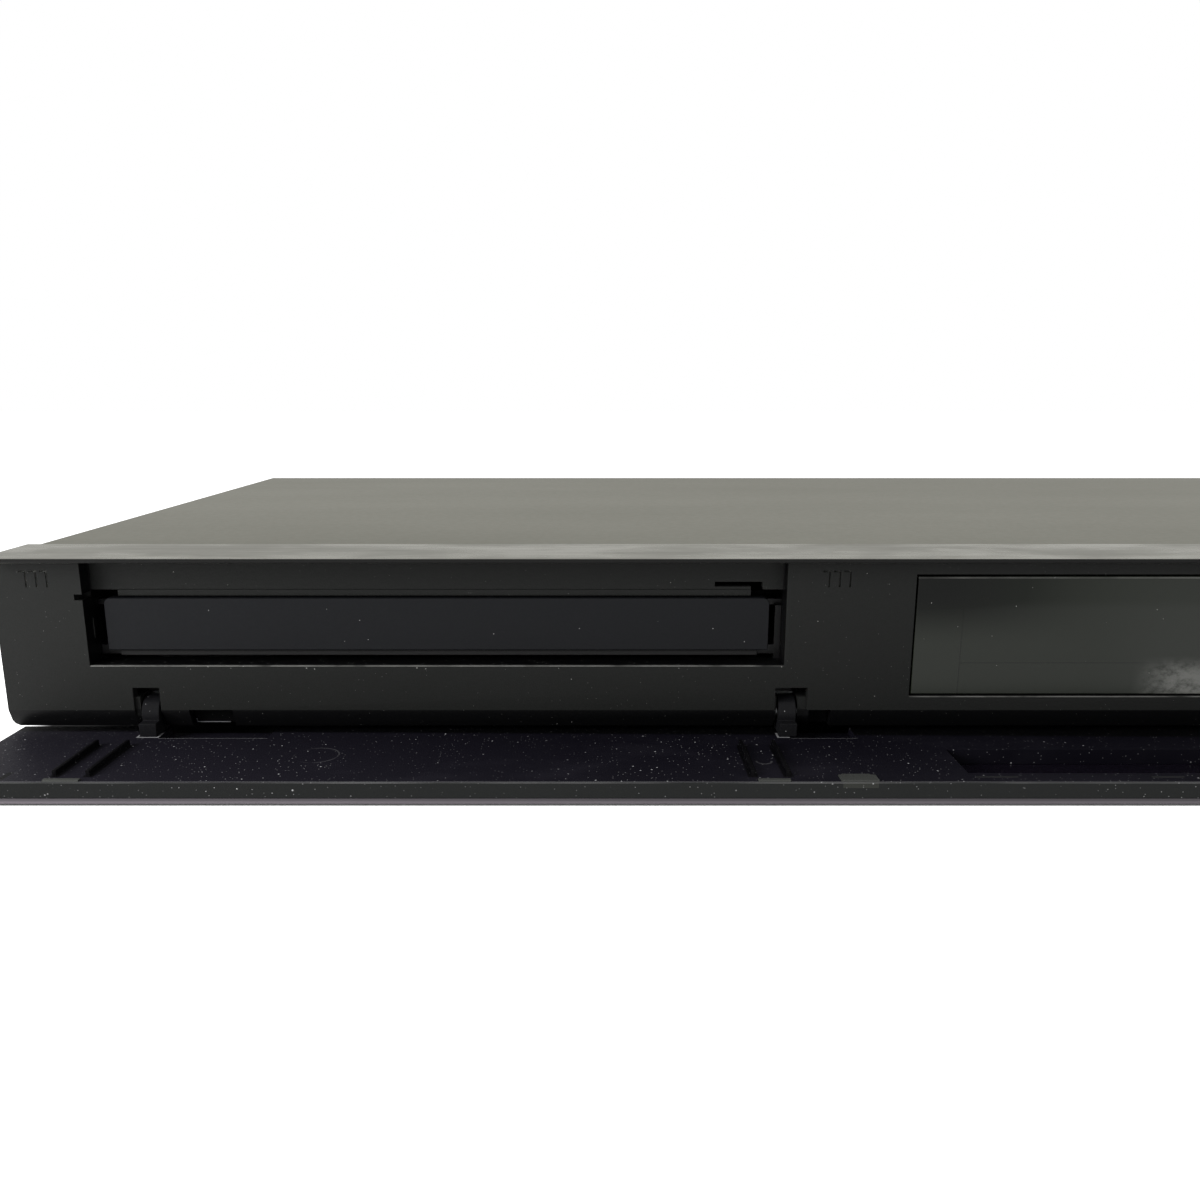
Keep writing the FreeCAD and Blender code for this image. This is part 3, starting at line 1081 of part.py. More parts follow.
def guide_rods():
    rods = [rod("y", (f"drive_x + {side} * rod_x", "rod_front", "rod_z"), "rod_radius",
                "rod_rear - rod_front")
            for side in (-1, 1)]
    return node("guide_rods", group(*rods))


def spindle_motor():
    case = rod("z", ("drive_x", "disc_y", "spindle_bottom"), "spindle_radius", "traverse_z - spindle_bottom")
    bore = rod("z", ("drive_x", "disc_y", "spindle_bottom + spindle_end - fit_gap"),
               "spindle_shaft + running_gap", "traverse_z")
    return node("spindle_motor", cut(case, bore))


def turntable():
    """Rubber-topped platform and centring nose on the spindle shaft."""
    corners = [("0", "spindle_bottom + spindle_end"), ("spindle_shaft", "spindle_bottom + spindle_end"),
               ("spindle_shaft", "hub_bottom"), ("hub_radius", "hub_bottom"), ("hub_radius",
                                                                               "turntable_bottom"),
               ("turntable_radius", "turntable_bottom"), ("turntable_radius", "disc_plane"),
               ("nose_radius", "disc_plane"), ("nose_radius", "disc_plane + nose_upright"),
               ("nose_top_radius", "nose_top"), ("0", "nose_top")]
    return node("turntable", turned("z", ("drive_x", "disc_y", "0"), corners))


def pickup_sled():
    rear = "sled_front + sled_long"
    block = box(("drive_x - sled_half", "drive_x + sled_half"), ("sled_front", rear), ("sled_bottom",
                                                                                       "sled_top"))
    parts = [block]
    bores = []
    for side in (-1, 1):
        bush = ("drive_x - bush_out", "drive_x - sled_half") if side < 0 else (
            "drive_x + sled_half", "drive_x + bush_out")
        parts.append(box(bush, ("sled_front", rear), ("bush_bottom", "bush_top")))
        bores.append(rod("y", (f"drive_x + {side} * rod_x", "sled_front - cut_past", "rod_z"),
                         "rod_radius + running_gap", "sled_long + 2 * cut_past"))
    middle = "sled_front + sled_long / 2"
    parts.append(box(("drive_x + sled_half", "drive_x + screw_x - lead_radius - fit_gap"),
                     (f"{middle} - nut_half", f"{middle} + nut_half"), ("nut_bottom", "nut_top")))
    return node("pickup_sled", cut(join(*parts), *bores))


def pickup_lens():
    middle = "sled_front + sled_long / 2"
    base = rod("z", ("drive_x", middle, "sled_top"), "lens_base", "lens_base_tall")
    glass = tip("z", ("drive_x", middle, "sled_top + lens_base_tall"), "lens_radius", "lens_top_radius",
                "lens_tall")
    return node("pickup_lens", join(base, glass))


def lead_screw():
    return node("lead_screw", rod("y", ("drive_x + screw_x", "lead_front", "screw_z"), "lead_radius",
                                  "lead_rear - lead_front"))


def sled_motor():
    x = "drive_x + screw_x"
    case = rod("y", (x, "sled_motor_front", "screw_z"), "sled_motor_radius",
               "sled_motor_rear - sled_motor_front")
    bore = rod("y", (x, "sled_motor_front - cut_past", "screw_z"), "lead_radius + running_gap",
               "lead_rear - sled_motor_front + cut_past + fit_gap")
    return node("sled_motor", cut(case, bore))


def cam_slider():
    """Upright slide in front of the traverse, with a slanted slot for each pin."""
    plate = box(("drive_x - cam_left", "drive_x + cam_right"), ("cam_y", "cam_y + cam_thick"),
                ("cam_bottom", "cam_top"))
    arm = value("pivot_y - cam_y - cam_thick / 2")
    drop = arm * math.sin(math.radians(value("lift_degrees")))
    travel = value("cam_travel")
    radius = value("cam_pin_radius + cam_slot_gap")
    y = value("face_y + cam_y") - 1
    thick = Vector(0, value("cam_thick") + 2, 0)
    slots = []
    for place in ("cam_pin_1", "cam_pin_2"):
        high = Vector(value(f"drive_x + {place}"), y, value("pivot_z"))
        low = high + Vector(-travel, 0, -drop)
        along = (high - low).normalize()
        across = Vector(-along.z, 0, along.x) * radius
        edges = [Part.makeLine(low + across, high + across),
                 Part.Arc(high + across, high + along * radius, high - across).toShape(),
                 Part.makeLine(high - across, low - across),
                 Part.Arc(low - across, low - along * radius, low + across).toShape()]
        item = new("Part::Feature")
        item.Shape = Part.Face(Part.Wire(edges)).extrude(thick)
        slots.append(item)
    return node("cam_slider", cut(plate, *slots))


def clamp_bridge():
    strip = box(("drive_x - bridge_half", "drive_x + bridge_half"), ("bridge_front",
                                                                     "bridge_front + bridge_wide"),
                ("bridge_z", "bridge_z + bridge_thick"))
    hole = rod("z", ("drive_x", "disc_y", "bridge_z - cut_past"), "bridge_hole",
               "bridge_thick + 2 * cut_past")
    return node("clamp_bridge", cut(strip, hole))


def clamper():
    top = "bridge_z + bridge_thick + fit_gap"
    plate = "clamper_bottom + clamper_plate"
    corners = [("0", "clamper_bottom + clamper_cup_deep"), ("clamper_cup",
                                                            "clamper_bottom + clamper_cup_deep"),
               ("clamper_cup", "clamper_bottom"), ("clamper_radius", "clamper_bottom"),
               ("clamper_radius", plate), ("clamper_neck", plate), ("clamper_neck", top), ("clamper_cap",
                                                                                           top),
               ("clamper_cap", f"{top} + clamper_cap_tall"), ("0", f"{top} + clamper_cap_tall")]
    return node("clamper", turned("z", ("drive_x", "disc_y", "0"), corners))


def main_connectors():
    """Connectors for the front ribbon, the drive ribbon, the disk cable and the two leads."""
    long_half = "ribbon_wide / 2 + plug_thick / 5"
    sizes = (("front", "front_ribbon_wide / 2 + plug_thick / 5", "plug_thick / 2"),
             ("drive", "plug_thick / 2", long_half), ("disk", "plug_thick / 2", long_half),
             ("fan", "plug_thick / 2", "plug_thick / 2"), ("power", "plug_thick / 2", "plug_thick / 2"))
    plugs = []
    for name, half, deep_half in sizes:
        plugs.append(box((f"{name}_plug_x - ({half})", f"{name}_plug_x + {half}"),
                         (f"{name}_plug_y - ({deep_half})", f"{name}_plug_y + {deep_half}"),
                         ("board_top", "board_top + plug_tall")))
    return plugs


def main_board():
    """Board with its main chip, two memory chips, two capacitors and a row of connectors."""
    plate = box(("main_left", "main_right"), ("main_front", "rear_inner - fit_gap"), ("board_z",
                                                                                      "board_top"))
    parts = [plate]
    parts.append(box(("chip_x - chip_half", "chip_x + chip_half"), ("chip_y - chip_half",
                                                                    "chip_y + chip_half"),
                     ("board_top", "board_top + chip_tall")))
    for shift in (-1, 1):
        memory = f"chip_x + {shift} * memory_step"
        parts.append(box((f"{memory} - memory_half", f"{memory} + memory_half"),
                         ("chip_y - memory_half", "chip_y + memory_half"), ("board_top",
                                                                            "board_top + memory_tall")))
        parts.append(rod("z", (f"chip_x + {shift} * memory_step / 2", "small_cap_y", "board_top"),
                         "small_cap_radius", "small_cap_tall"))
    parts.extend(main_connectors())
    holes = [rod("z", (x, y, "board_z - cut_past"), "screw_radius + board_hole_gap",
                 "board_thick + 2 * cut_past") for x, y in main_standoffs()]
    return node("main_board", cut(join(*parts), *holes))


def heat_sink():
    base = "board_top + chip_tall"
    parts = [box(("chip_x - sink_half", "chip_x + sink_half"), ("chip_y - sink_half", "chip_y + sink_half"),
                 (base, f"{base} + sink_base"))]
    fins = int(value("fin_count"))
    for fin in range(fins):
        start = f"chip_x - sink_half + {fin} * (2 * sink_half - fin_thick) / (fin_count - 1)"
        parts.append(box((start, f"{start} + fin_thick"), ("chip_y - sink_half", "chip_y + sink_half"),
                         (f"{base} + sink_base", f"{base} + sink_tall")))
    return node("heat_sink", join(*parts))


def tuner_module():
    return node("tuner_module", box(("tuner_left", "tuner_left + tuner_wide"), ("tuner_front",
                                                                                "rear_inner - fit_gap"),
                                    ("board_top", "tuner_top")))


def antenna_terminals():
    """Four threaded barrels with a collar inside the panel and a bore for the centre contact."""
    long = "terminal_reach + rear_thick + fit_gap"
    inside = "rear_thick + fit_gap"
    corners = [("terminal_bore", "0"), ("terminal_collar", "0"), ("terminal_collar", inside),
               ("terminal_radius", inside), ("terminal_radius", long),
               ("terminal_core", long), ("terminal_core", f"{long} - terminal_core_deep"),
               ("terminal_bore", f"{long} - terminal_core_deep")]
    barrels = []
    for x in ("terminal_x1", "terminal_x2"):
        for z in ("terminal_z1", "terminal_z2"):
            barrels.append(turned("y", (x, "rear_inner - fit_gap", z), corners))
    return node("antenna_terminals", group(*barrels))


def socket_case(left, wide, tall, deep):
    return box((left, f"{left} + {wide}"), (f"rear_face + socket_out - {deep}", "rear_face + socket_out"),
               ("board_top", f"board_top + {tall}"))


def lan_socket():
    middle = "lan_left + lan_wide / 2"
    mouth = box((f"{middle} - lan_mouth_wide / 2", f"{middle} + lan_mouth_wide / 2"),
                ("rear_face + socket_out - lan_mouth_deep", "rear_face + socket_out + cut_past"),
                ("board_top + lan_mouth_low", "board_top + lan_mouth_low + lan_mouth_tall"))
    return node("lan_socket", cut(socket_case("lan_left", "lan_wide", "lan_tall", "lan_deep"), mouth))


def rear_usb_socket():
    left = "rear_usb_left"
    low = "board_top + usb_wall"
    high = "board_top + rear_usb_tall - usb_wall"
    mouth = box((f"{left} + usb_wall", f"{left} + rear_usb_wide - usb_wall"),
                ("rear_face + socket_out - usb_deep", "rear_face + socket_out + cut_past"), (low, high))
    tongue = box((f"{left} + rear_usb_wide / 2 - usb_tongue_half",
                  f"{left} + rear_usb_wide / 2 + usb_tongue_half"),
                 ("rear_face + socket_out - usb_deep", "rear_face + socket_out - cut_past"),
                 (f"{high} - 3 * usb_tongue", f"{high} - usb_tongue"))
    case = socket_case(left, "rear_usb_wide", "rear_usb_tall", "rear_usb_deep")
    return node("rear_usb_socket", join(cut(case, mouth), tongue))


def hdmi_socket():
    x1 = "hdmi_left + (hdmi_wide - hdmi_mouth_wide) / 2"
    x2 = "hdmi_left + (hdmi_wide + hdmi_mouth_wide) / 2"
    z1 = "board_top + (hdmi_tall - hdmi_mouth_tall) / 2"
    z2 = "board_top + (hdmi_tall + hdmi_mouth_tall) / 2"
    mouth = bar("XZ_Plane", [(x1, z2), (x1, f"{z1} + hdmi_chamfer"), (f"{x1} + hdmi_chamfer", z1),
                             (f"{x2} - hdmi_chamfer", z1), (x2, f"{z1} + hdmi_chamfer"), (x2, z2)],
                "rear_face + socket_out - usb_deep", "usb_deep + cut_past")
    tongue = box((f"{x1} + hdmi_tongue_in", f"{x2} - hdmi_tongue_in"),
                 ("rear_face + socket_out - usb_deep", "rear_face + socket_out - cut_past"),
                 (f"{z2} - hdmi_tongue_in - hdmi_tongue", f"{z2} - hdmi_tongue_in"))
    case = socket_case("hdmi_left", "hdmi_wide", "hdmi_tall", "hdmi_deep")
    return node("hdmi_socket", join(cut(case, mouth), tongue))


def fan_housing():
    left = "fan_left + right_shift"
    middle = (f"{left} + fan_size / 2", "fan_z + fan_size / 2")
    front = "rear_inner - fan_thick"
    frame = box((left, f"{left} + fan_size"), (front, "rear_inner"), ("fan_z", "fan_z + fan_size"))
    bore = rod("y", (middle[0], f"{front} - cut_past", middle[1]), "fan_bore", "fan_thick + 2 * cut_past")
    spider = box((left, f"{left} + fan_size"), ("rear_inner - fan_spider", "rear_inner"),
                 (f"{middle[1]} - fan_arm_half", f"{middle[1]} + fan_arm_half"))
    plate = rod("y", (middle[0], "rear_inner - fan_spider", middle[1]), "fan_hub", "fan_spider")
    pin = rod("y", (middle[0], f"{front} + fan_pin_start", middle[1]), "fan_pin",
              "fan_thick - fan_pin_start")
    return node("fan_housing", join(cut(frame, bore), spider, plate, pin))


def fan_rotor():
    """Hub cup and slanted blades."""
    x = "fan_left + right_shift + fan_size / 2"
    z = "fan_z + fan_size / 2"
    front = "rear_inner - fan_thick + fan_front_gap"
    hub = rod("y", (x, front, z), "fan_hub", "blade_long")
    bore = rod("y", (x, f"{front} + cut_past", z), "fan_pin + running_gap", "blade_long")
    ring = cut(rod("y", (x, front, z), "fan_tip", "blade_long"),
               rod("y", (x, front, z), "fan_hub - hub_sink", "blade_long"))
    total = int(value("blade_count"))
    pieces = [cut(hub, bore)]
    for blade in range(total):
        sheet_blade = new("Part::Box")
        bind(sheet_blade, "Length", "blade_thick")
        bind(sheet_blade, "Width", "2 * blade_long")
        bind(sheet_blade, "Height", "2 * fan_tip")
        lean = Rotation(Vector(0, 0, 1), value("blade_lean"))
        spin = Rotation(Vector(0, 1, 0), 360 * blade / total)
        base = Placement(Vector(value(x), value(f"face_y + ({front}) - fan_arm_half"), value(z)),
                         spin.multiply(lean))
        sheet_blade.Placement = base.multiply(Placement(Vector(-value("blade_thick") / 2, 0, 0), Rotation()))
        pieces.append(both(sheet_blade, ring))
    return node("fan_rotor", join(*pieces))


def power_board():
    """Board with two big capacitors and a small one."""
    right = "pan_half - right_margin"
    plate = box(("power_left + right_shift", right), ("power_front", "rear_inner - power_rear_gap"),
                ("board_z", "board_top"))
    parts = [plate]
    x = "cap_x + right_shift"
    parts.append(rod("z", (x, "cap_y", "board_top"), "cap_radius", "cap_tall"))
    parts.append(rod("z", (f"{x} + second_cap_step", "cap_y", "board_top"), "second_cap_radius",
                     "second_cap_tall"))
    parts.append(rod("z", (x, "cap_y + cap_pitch", "board_top"), "third_cap_radius", "third_cap_tall"))
    holes = [rod("z", (post_x, post_y, "board_z - cut_past"), "screw_radius + board_hole_gap",
                 "board_thick + 2 * cut_past") for post_x, post_y in power_standoffs()]
    return node("power_board", cut(join(*parts), *holes))


def transformer():
    x = "coil_x + right_shift"
    core = box((f"{x} - coil_half", f"{x} + coil_half"), ("coil_y - coil_core", "coil_y + coil_core"),
               ("board_top", "board_top + coil_tall"))
    coil = rod("z", (x, "coil_y", "board_top + coil_yoke"), "coil_half - coil_yoke",
               "coil_tall - 2 * coil_yoke")
    return node("transformer", join(core, coil))


def mains_inlet():
    """Figure-eight inlet with two pins, standing on a foot on the power board."""
    x = "inlet_x + right_shift"
    low = "board_top + inlet_rise"
    back = "rear_face + socket_out"
    case = box((f"{x} - inlet_wide / 2", f"{x} + inlet_wide / 2"), (f"{back} - inlet_deep", back),
               (low, f"{low} + inlet_tall"))
    foot = box((f"{x} - inlet_wide / 2", f"{x} + inlet_wide / 2"), (f"{back} - inlet_deep",
                                                                    "rear_inner - inlet_foot_gap"),
               ("board_top", low))
    middle = f"{low} + inlet_tall / 2"
    radius = "inlet_mouth_tall / 2"
    deep = f"{back} - inlet_mouth_deep"
    flat = f"inlet_mouth_wide / 2 - {radius}"
    mouth = [box((f"{x} - ({flat})", f"{x} + ({flat})"), (deep, f"{back} + cut_past"),
                 (f"{middle} - {radius}",
                                                                               f"{middle} + {radius}"))]
    pins = []
    for side in (-1, 1):
        mouth.append(rod("y", (f"{x} + {side} * ({flat})", deep, middle), radius,
                         "inlet_mouth_deep + cut_past"))
        pins.append(rod("y", (f"{x} + {side} * inlet_pitch / 2", f"{deep} - cut_past", middle), "inlet_pin",
                        "inlet_pin_long + cut_past"))
    return node("mains_inlet", join(cut(join(case, foot), *mouth), *pins))


def hard_disk():
    wide = ("disk_x", "disk_x + disk_long")
    deep = ("disk_front", "disk_front + disk_wide")
    case = box(wide, deep, ("disk_z", "disk_z + disk_tall - disk_lid"))
    lid = box(("disk_x + disk_lid_in", "disk_x + disk_long - disk_lid_in"),
              ("disk_front + disk_lid_in", "disk_front + disk_wide - disk_lid_in"),
              ("disk_z + disk_tall - disk_lid", "disk_z + disk_tall"))
    return node("hard_disk", join(case, lid))


def hard_disk_bracket():
    """Bent tray under the disk, turned up along its two ends."""
    low = "disk_x - fit_gap - bracket_thick"
    high = "disk_x + disk_long + fit_gap + bracket_thick"
    deep = ("disk_front + bracket_in", "disk_front + disk_wide - bracket_in")
    floor = box((low, high), deep, ("pan_floor", "pan_floor + bracket_thick"))
    left = box((low, f"{low} + bracket_thick"), deep, ("pan_floor", "pan_floor + bracket_up"))
    right = box((f"{high} - bracket_thick", high), deep, ("pan_floor", "pan_floor + bracket_up"))
    return node("hard_disk_bracket", join(floor, left, right))


def route_wire(points):
    """Straight runs joined by tangent arcs, each as large as its two runs allow."""
    edges = []
    start = points[0]
    radii = []
    for before, corner, after in zip(points, points[1:], points[2:]):
        come = corner - before
        leave = after - corner
        turn = come.getAngle(leave)
        reach = 0.45 * min(come.Length, leave.Length)
        radii.append(reach / math.tan(turn / 2))
        enter = corner - come.normalize() * reach
        exit_point = corner + leave.normalize() * reach
        chord = (enter + exit_point) / 2
        inward = (chord - corner).normalize()
        middle_gap = reach / math.cos(math.pi / 2 - (math.pi - turn) / 2)
        centre = corner + inward * math.hypot(reach, radii[-1])
        middle = centre - inward * radii[-1]
        edges.append(Part.makeLine(start, enter))
        edges.append(Part.Arc(enter, middle, exit_point).toShape())
        start = exit_point
    edges.append(Part.makeLine(start, points[-1]))
    return Part.Wire(edges), radii


def places(*points):
    """Route points from formulas, with y measured from the front face."""
    return [Vector(value(x), value(f"face_y + ({y})"), value(z)) for x, y, z in points]


def flat_cable(name, points, across, wide):
    """A flat cable of a few turns: its section is swept along the route."""
    wire, radii = route_wire(points)
    along = (points[1] - points[0]).normalize()
    side = across * (wide / 2)
    up = along.cross(across).normalize() * (value("ribbon_thick") / 2)
    start = points[0]
    corners = [start + side + up, start - side + up, start - side - up, start + side - up]
    profile = Part.makePolygon(corners + [corners[0]])
    item = new("Part::Feature")
    item.Shape = wire.makePipeShell([profile], True, False)
    print(name, "radii", " ".join(f"{radius:.1f}" for radius in radii))
    return node(name, item)


def round_cable(name, points, radius):
    wire, radii = route_wire(points)
    along = (points[1] - points[0]).normalize()
    profile = Part.Wire([Part.makeCircle(radius, points[0], along)])
    item = new("Part::Feature")
    item.Shape = wire.makePipeShell([profile], True, False)
    share = item.Shape.Volume / (math.pi * radius ** 2 * wire.Length)
    print(name, "radii", " ".join(f"{size:.1f}" for size in radii), f"volume share {share:.4f}")
    return item


def flat_cables():
    """Flat cables from the front board, the drive and the hard disk to the main board."""
    top = "board_top + plug_tall + 0.1"
    front = places(("front_plug_x", "front_board_y + board_thick + 0.1", "front_ribbon_z"),
                   ("front_plug_x", "front_plug_y - 15", "front_ribbon_z + 0.8"),
                   ("front_plug_x", "front_plug_y", "front_ribbon_z + 2"), ("front_plug_x", "front_plug_y",
                                                                            top))
    flat_cable("front_ribbon", front, Vector(1, 0, 0), value("front_ribbon_wide"))
    drive = places(("drive_x + drive_half + 0.1", "drive_plug_y", "drive_ribbon_z"),
                   ("drive_plug_x - 8", "drive_plug_y", "drive_ribbon_z + 0.8"),
                   ("drive_plug_x", "drive_plug_y", "drive_ribbon_z"), ("drive_plug_x", "drive_plug_y", top))
    flat_cable("drive_ribbon", drive, Vector(0, 1, 0), value("ribbon_wide"))
    disk = places(("disk_x - 0.1", "disk_plug_y", "disk_cable_z"),
                  ("disk_plug_x + 6", "disk_plug_y", "disk_cable_z + 0.5"),
                  ("disk_plug_x", "disk_plug_y", "disk_cable_z"), ("disk_plug_x", "disk_plug_y", top))
    flat_cable("hard_disk_cable", disk, Vector(0, 1, 0), value("ribbon_wide"))


def round_leads():
    """The fan's lead and the supply lead between the two boards."""
    top = "board_top + plug_tall + 0.1"
    fan_y = "rear_inner - fan_thick / 2"
    fan = places(("fan_left + right_shift - 0.3", fan_y, "fan_lead_z"),
                 ("fan_left + right_shift - 5", f"{fan_y} - 1", "fan_lead_z + 0.6"),
                 ("fan_plug_x + 3", "fan_plug_y + 6", "fan_lead_z - 1"),
                 ("fan_plug_x", "fan_plug_y + 1", "fan_lead_z - 4"),
                 ("fan_plug_x", "fan_plug_y", top))
    board_left = "power_left + right_shift"
    supply = places((f"{board_left} + 5", "power_plug_y + 2", "board_top + 2.2"),
                    (f"{board_left} - 4", "power_plug_y + 1", "supply_lead_z"),
                    (f"{board_left} - 18", "power_plug_y - 1", "supply_lead_z + 1"),
                    ("power_plug_x + 10", "power_plug_y", "supply_lead_z"),
                    ("power_plug_x", "power_plug_y", "supply_lead_z - 0.5"),
                    ("power_plug_x", "power_plug_y", top))
    leads = [round_cable("fan lead", fan, value("fan_lead_radius")),
             round_cable("supply lead", supply, value("supply_lead_radius"))]
    return node("inner_leads", group(*leads))


fill_sheet()
top_trim()
front_panel()
display_window()
flap_frame()
flap_panel()
flap_arms()
hinge_pins()
top_cover()
chassis_base()
rear_panel()
feet()
case_screws()
button("power_button", "power_x")
button("open_close_button", "open_x")
front_usb_socket()
card_slot()
front_board()
display_module()
drive_frame()
drive_dampers()
drive_screws()
board_screws()
disc_tray()
tray_door()
loading_gear()
motor_pulley()
loading_motor()
drive_belt()
traverse_chassis()
guide_rods()
spindle_motor()
turntable()
pickup_sled()
pickup_lens()
lead_screw()
sled_motor()
cam_slider()
clamp_bridge()
clamper()
main_board()
heat_sink()
tuner_module()
antenna_terminals()
lan_socket()
rear_usb_socket()
hdmi_socket()
fan_housing()
fan_rotor()
power_board()
transformer()
mains_inlet()
hard_disk()
hard_disk_bracket()
flat_cables()
round_leads()
document.recompute()

failed = [item.Name for item in document.Objects if "Invalid" in item.State or "Error" in item.State]
if failed:
    raise SystemExit(f"these objects failed: {failed}")
for item in nodes:
    if item.Shape.isNull() or not item.Shape.isValid():
        raise SystemExit(f"bad shape: {item.Label}")
os.makedirs("parts", exist_ok=True)
for item in nodes:
    item.Shape.exportStep(f"parts/{item.Label}.step")
print(len(nodes), "nodes written")
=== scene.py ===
import math
import bmesh
import bpy
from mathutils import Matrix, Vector


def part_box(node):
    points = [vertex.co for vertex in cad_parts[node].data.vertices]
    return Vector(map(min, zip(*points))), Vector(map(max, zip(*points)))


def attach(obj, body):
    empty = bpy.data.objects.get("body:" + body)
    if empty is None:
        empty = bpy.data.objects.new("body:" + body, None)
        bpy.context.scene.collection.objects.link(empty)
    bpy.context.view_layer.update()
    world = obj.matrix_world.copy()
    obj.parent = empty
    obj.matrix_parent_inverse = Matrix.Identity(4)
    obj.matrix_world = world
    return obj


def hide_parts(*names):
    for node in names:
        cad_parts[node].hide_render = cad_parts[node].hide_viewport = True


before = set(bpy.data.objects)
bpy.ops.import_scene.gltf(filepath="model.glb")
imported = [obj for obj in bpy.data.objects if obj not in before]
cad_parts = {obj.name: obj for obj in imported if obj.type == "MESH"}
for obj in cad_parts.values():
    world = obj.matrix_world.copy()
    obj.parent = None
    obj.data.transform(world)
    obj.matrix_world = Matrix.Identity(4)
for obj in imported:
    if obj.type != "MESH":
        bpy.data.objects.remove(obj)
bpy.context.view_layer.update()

# Table, surround and light.
# The set stands on a white table in a plain white surround, under a broad soft lamp above
# and behind it and a weaker one low on the left. The table carries a painted shadow under and
# beside the set. The camera is close, just above the lid.
MM = 0.001
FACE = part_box("front_panel")[0].y
scene = bpy.context.scene
scene.view_settings.view_transform = "Standard"


def at(x, y, z):
    """A place in millimetres, with y measured from the front panel's face, as metres."""
    return Vector((x * MM, FACE + y * MM, z * MM))


def link(name, data):
    piece = bpy.data.objects.new(name, data)
    scene.collection.objects.link(piece)
    return piece


class Wire:
    """A value on its way from one shader node to the next. Sums on it add Math nodes."""

    def __init__(self, paint, socket):
        self.paint, self.socket = paint, socket

    def work(self, operation, first, second):
        return self.paint.add("ShaderNodeMath", {"operation": operation}, {0: first, 1: second})

    def __add__(self, other):
        return self.work("ADD", self, other)

    def __sub__(self, other):
        return self.work("SUBTRACT", self, other)

    def __rsub__(self, other):
        return self.work("SUBTRACT", other, self)

    def __mul__(self, other):
        return self.work("MULTIPLY", self, other)

    def __gt__(self, other):
        return self.work("GREATER_THAN", self, other)

    def __lt__(self, other):
        return self.work("LESS_THAN", self, other)

    def __or__(self, other):
        return self.work("MAXIMUM", self, other)

    def __mod__(self, other):
        return self.work("PINGPONG", self, other)

    __radd__ = __add__
    __rmul__ = __mul__


class Paint:
    """The node tree of one finish, or of the surround."""

    def __init__(self, owner):
        owner.use_nodes = True
        self.owner, self.tree = owner, owner.node_tree
        self.tree.nodes.clear()

    def add(self, kind, settings=(), sockets=(), output=0):
        """Any node: its settings first, then the values or links of its sockets."""
        node = self.tree.nodes.new(kind)
        for name, value in dict(settings).items():
            setattr(node, name, value)
        for name, value in dict(sockets).items():
            if isinstance(value, Wire):
                self.tree.links.new(value.socket, node.inputs[name])
            else:
                node.inputs[name].default_value = value
        return Wire(self, node.outputs[output]) if len(node.outputs) else node

    def outputs(self, kind, names, sockets=()):
        """Several results of one node."""
        node = self.add(kind, {}, sockets).socket.node
        return [Wire(self, node.outputs[name]) for name in names]


RAYS = ("Is Camera Ray", "Is Glossy Ray", "Is Transmission Ray")
SHADOW_REACH, CLOSED, OPEN, BULGE = 60 * MM, 0.06, 0.4, 6 * MM
DARK, LIT = (0.03, 0.03, 0.03, 1), (0.8, 0.8, 0.8, 1)
TABLE_GLOW, TABLE_HALF = 0.75, 3
table = Paint(bpy.data.materials.new("table_white"))
to_camera, to_gloss, to_glass = table.outputs("ShaderNodeLightPath", RAYS)
seen = to_camera | to_gloss | to_glass
# Painted shadow: the table's glow and colour fade where the set hides its sky.
open_sky = table.add("ShaderNodeAmbientOcclusion", {"samples": 8}, {"Distance": SHADOW_REACH}, "AO")
clear = table.add("ShaderNodeMapRange", {}, {"Value": open_sky, "From Min": CLOSED, "From Max": OPEN})
x, y = table.outputs("ShaderNodeSeparateXYZ", "XY",
                     {"Vector": table.add("ShaderNodeTexCoord", output="Object")})
lid_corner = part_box("top_cover")[1]
side = (x | x * -1) - lid_corner.x


def darker(value, lit, dark):
    """How far the table is in the set's shadow: none where a measure is at lit, all at dark."""
    return table.add("ShaderNodeMapRange", {"interpolation_type": "SMOOTHSTEP"},
                     {"Value": value, "From Min": lit, "From Max": dark})


# Painted shadow on the table under and beside the set, a little wider at the front left, over the dimming by
# occlusion.
side = side - darker(y, FACE + 70 * MM, FACE + 20 * MM) * (x < 0) * BULGE
under = darker(side, 4 * MM, -3 * MM) * darker(y, FACE - 3 * MM, FACE + 9 * MM)
clear = clear * (1 - under * darker(y, lid_corner.y + 4 * MM, lid_corner.y - 4 * MM))
shade = table.add("ShaderNodeMix", {"data_type": "RGBA"}, {0: clear, 6: DARK, 7: LIT}, 2)
table.add("ShaderNodeOutputMaterial", {}, {"Surface": table.add("ShaderNodeAddShader", {}, {
    0: table.add("ShaderNodeBsdfDiffuse", {}, {"Color": shade}),
    1: table.add("ShaderNodeEmission", {}, {"Strength": seen * clear * TABLE_GLOW})})})
sheet = bpy.data.meshes.new("table")
sheet.from_pydata([(-TABLE_HALF, -TABLE_HALF, 0), (TABLE_HALF, -TABLE_HALF, 0),
                   (TABLE_HALF, TABLE_HALF, 0), (-TABLE_HALF, TABLE_HALF, 0)], [], [(0, 1, 2, 3)])
sheet.materials.append(table.owner)
link("table", sheet)

LIGHTING, SEEN, MIRRORED = 0.45, 1, 0.95
scene.world = bpy.data.worlds.new("surround")
surround = Paint(scene.world)
to_camera, to_gloss, to_glass = surround.outputs("ShaderNodeLightPath", RAYS)
brightness = LIGHTING + (to_camera | to_glass) * (SEEN - LIGHTING) + to_gloss * (MIRRORED - LIGHTING)
surround.add("ShaderNodeOutputWorld", {}, {"Surface": surround.add("ShaderNodeBackground", {}, {
    "Color": (1, 1, 1, 1), "Strength": brightness})})


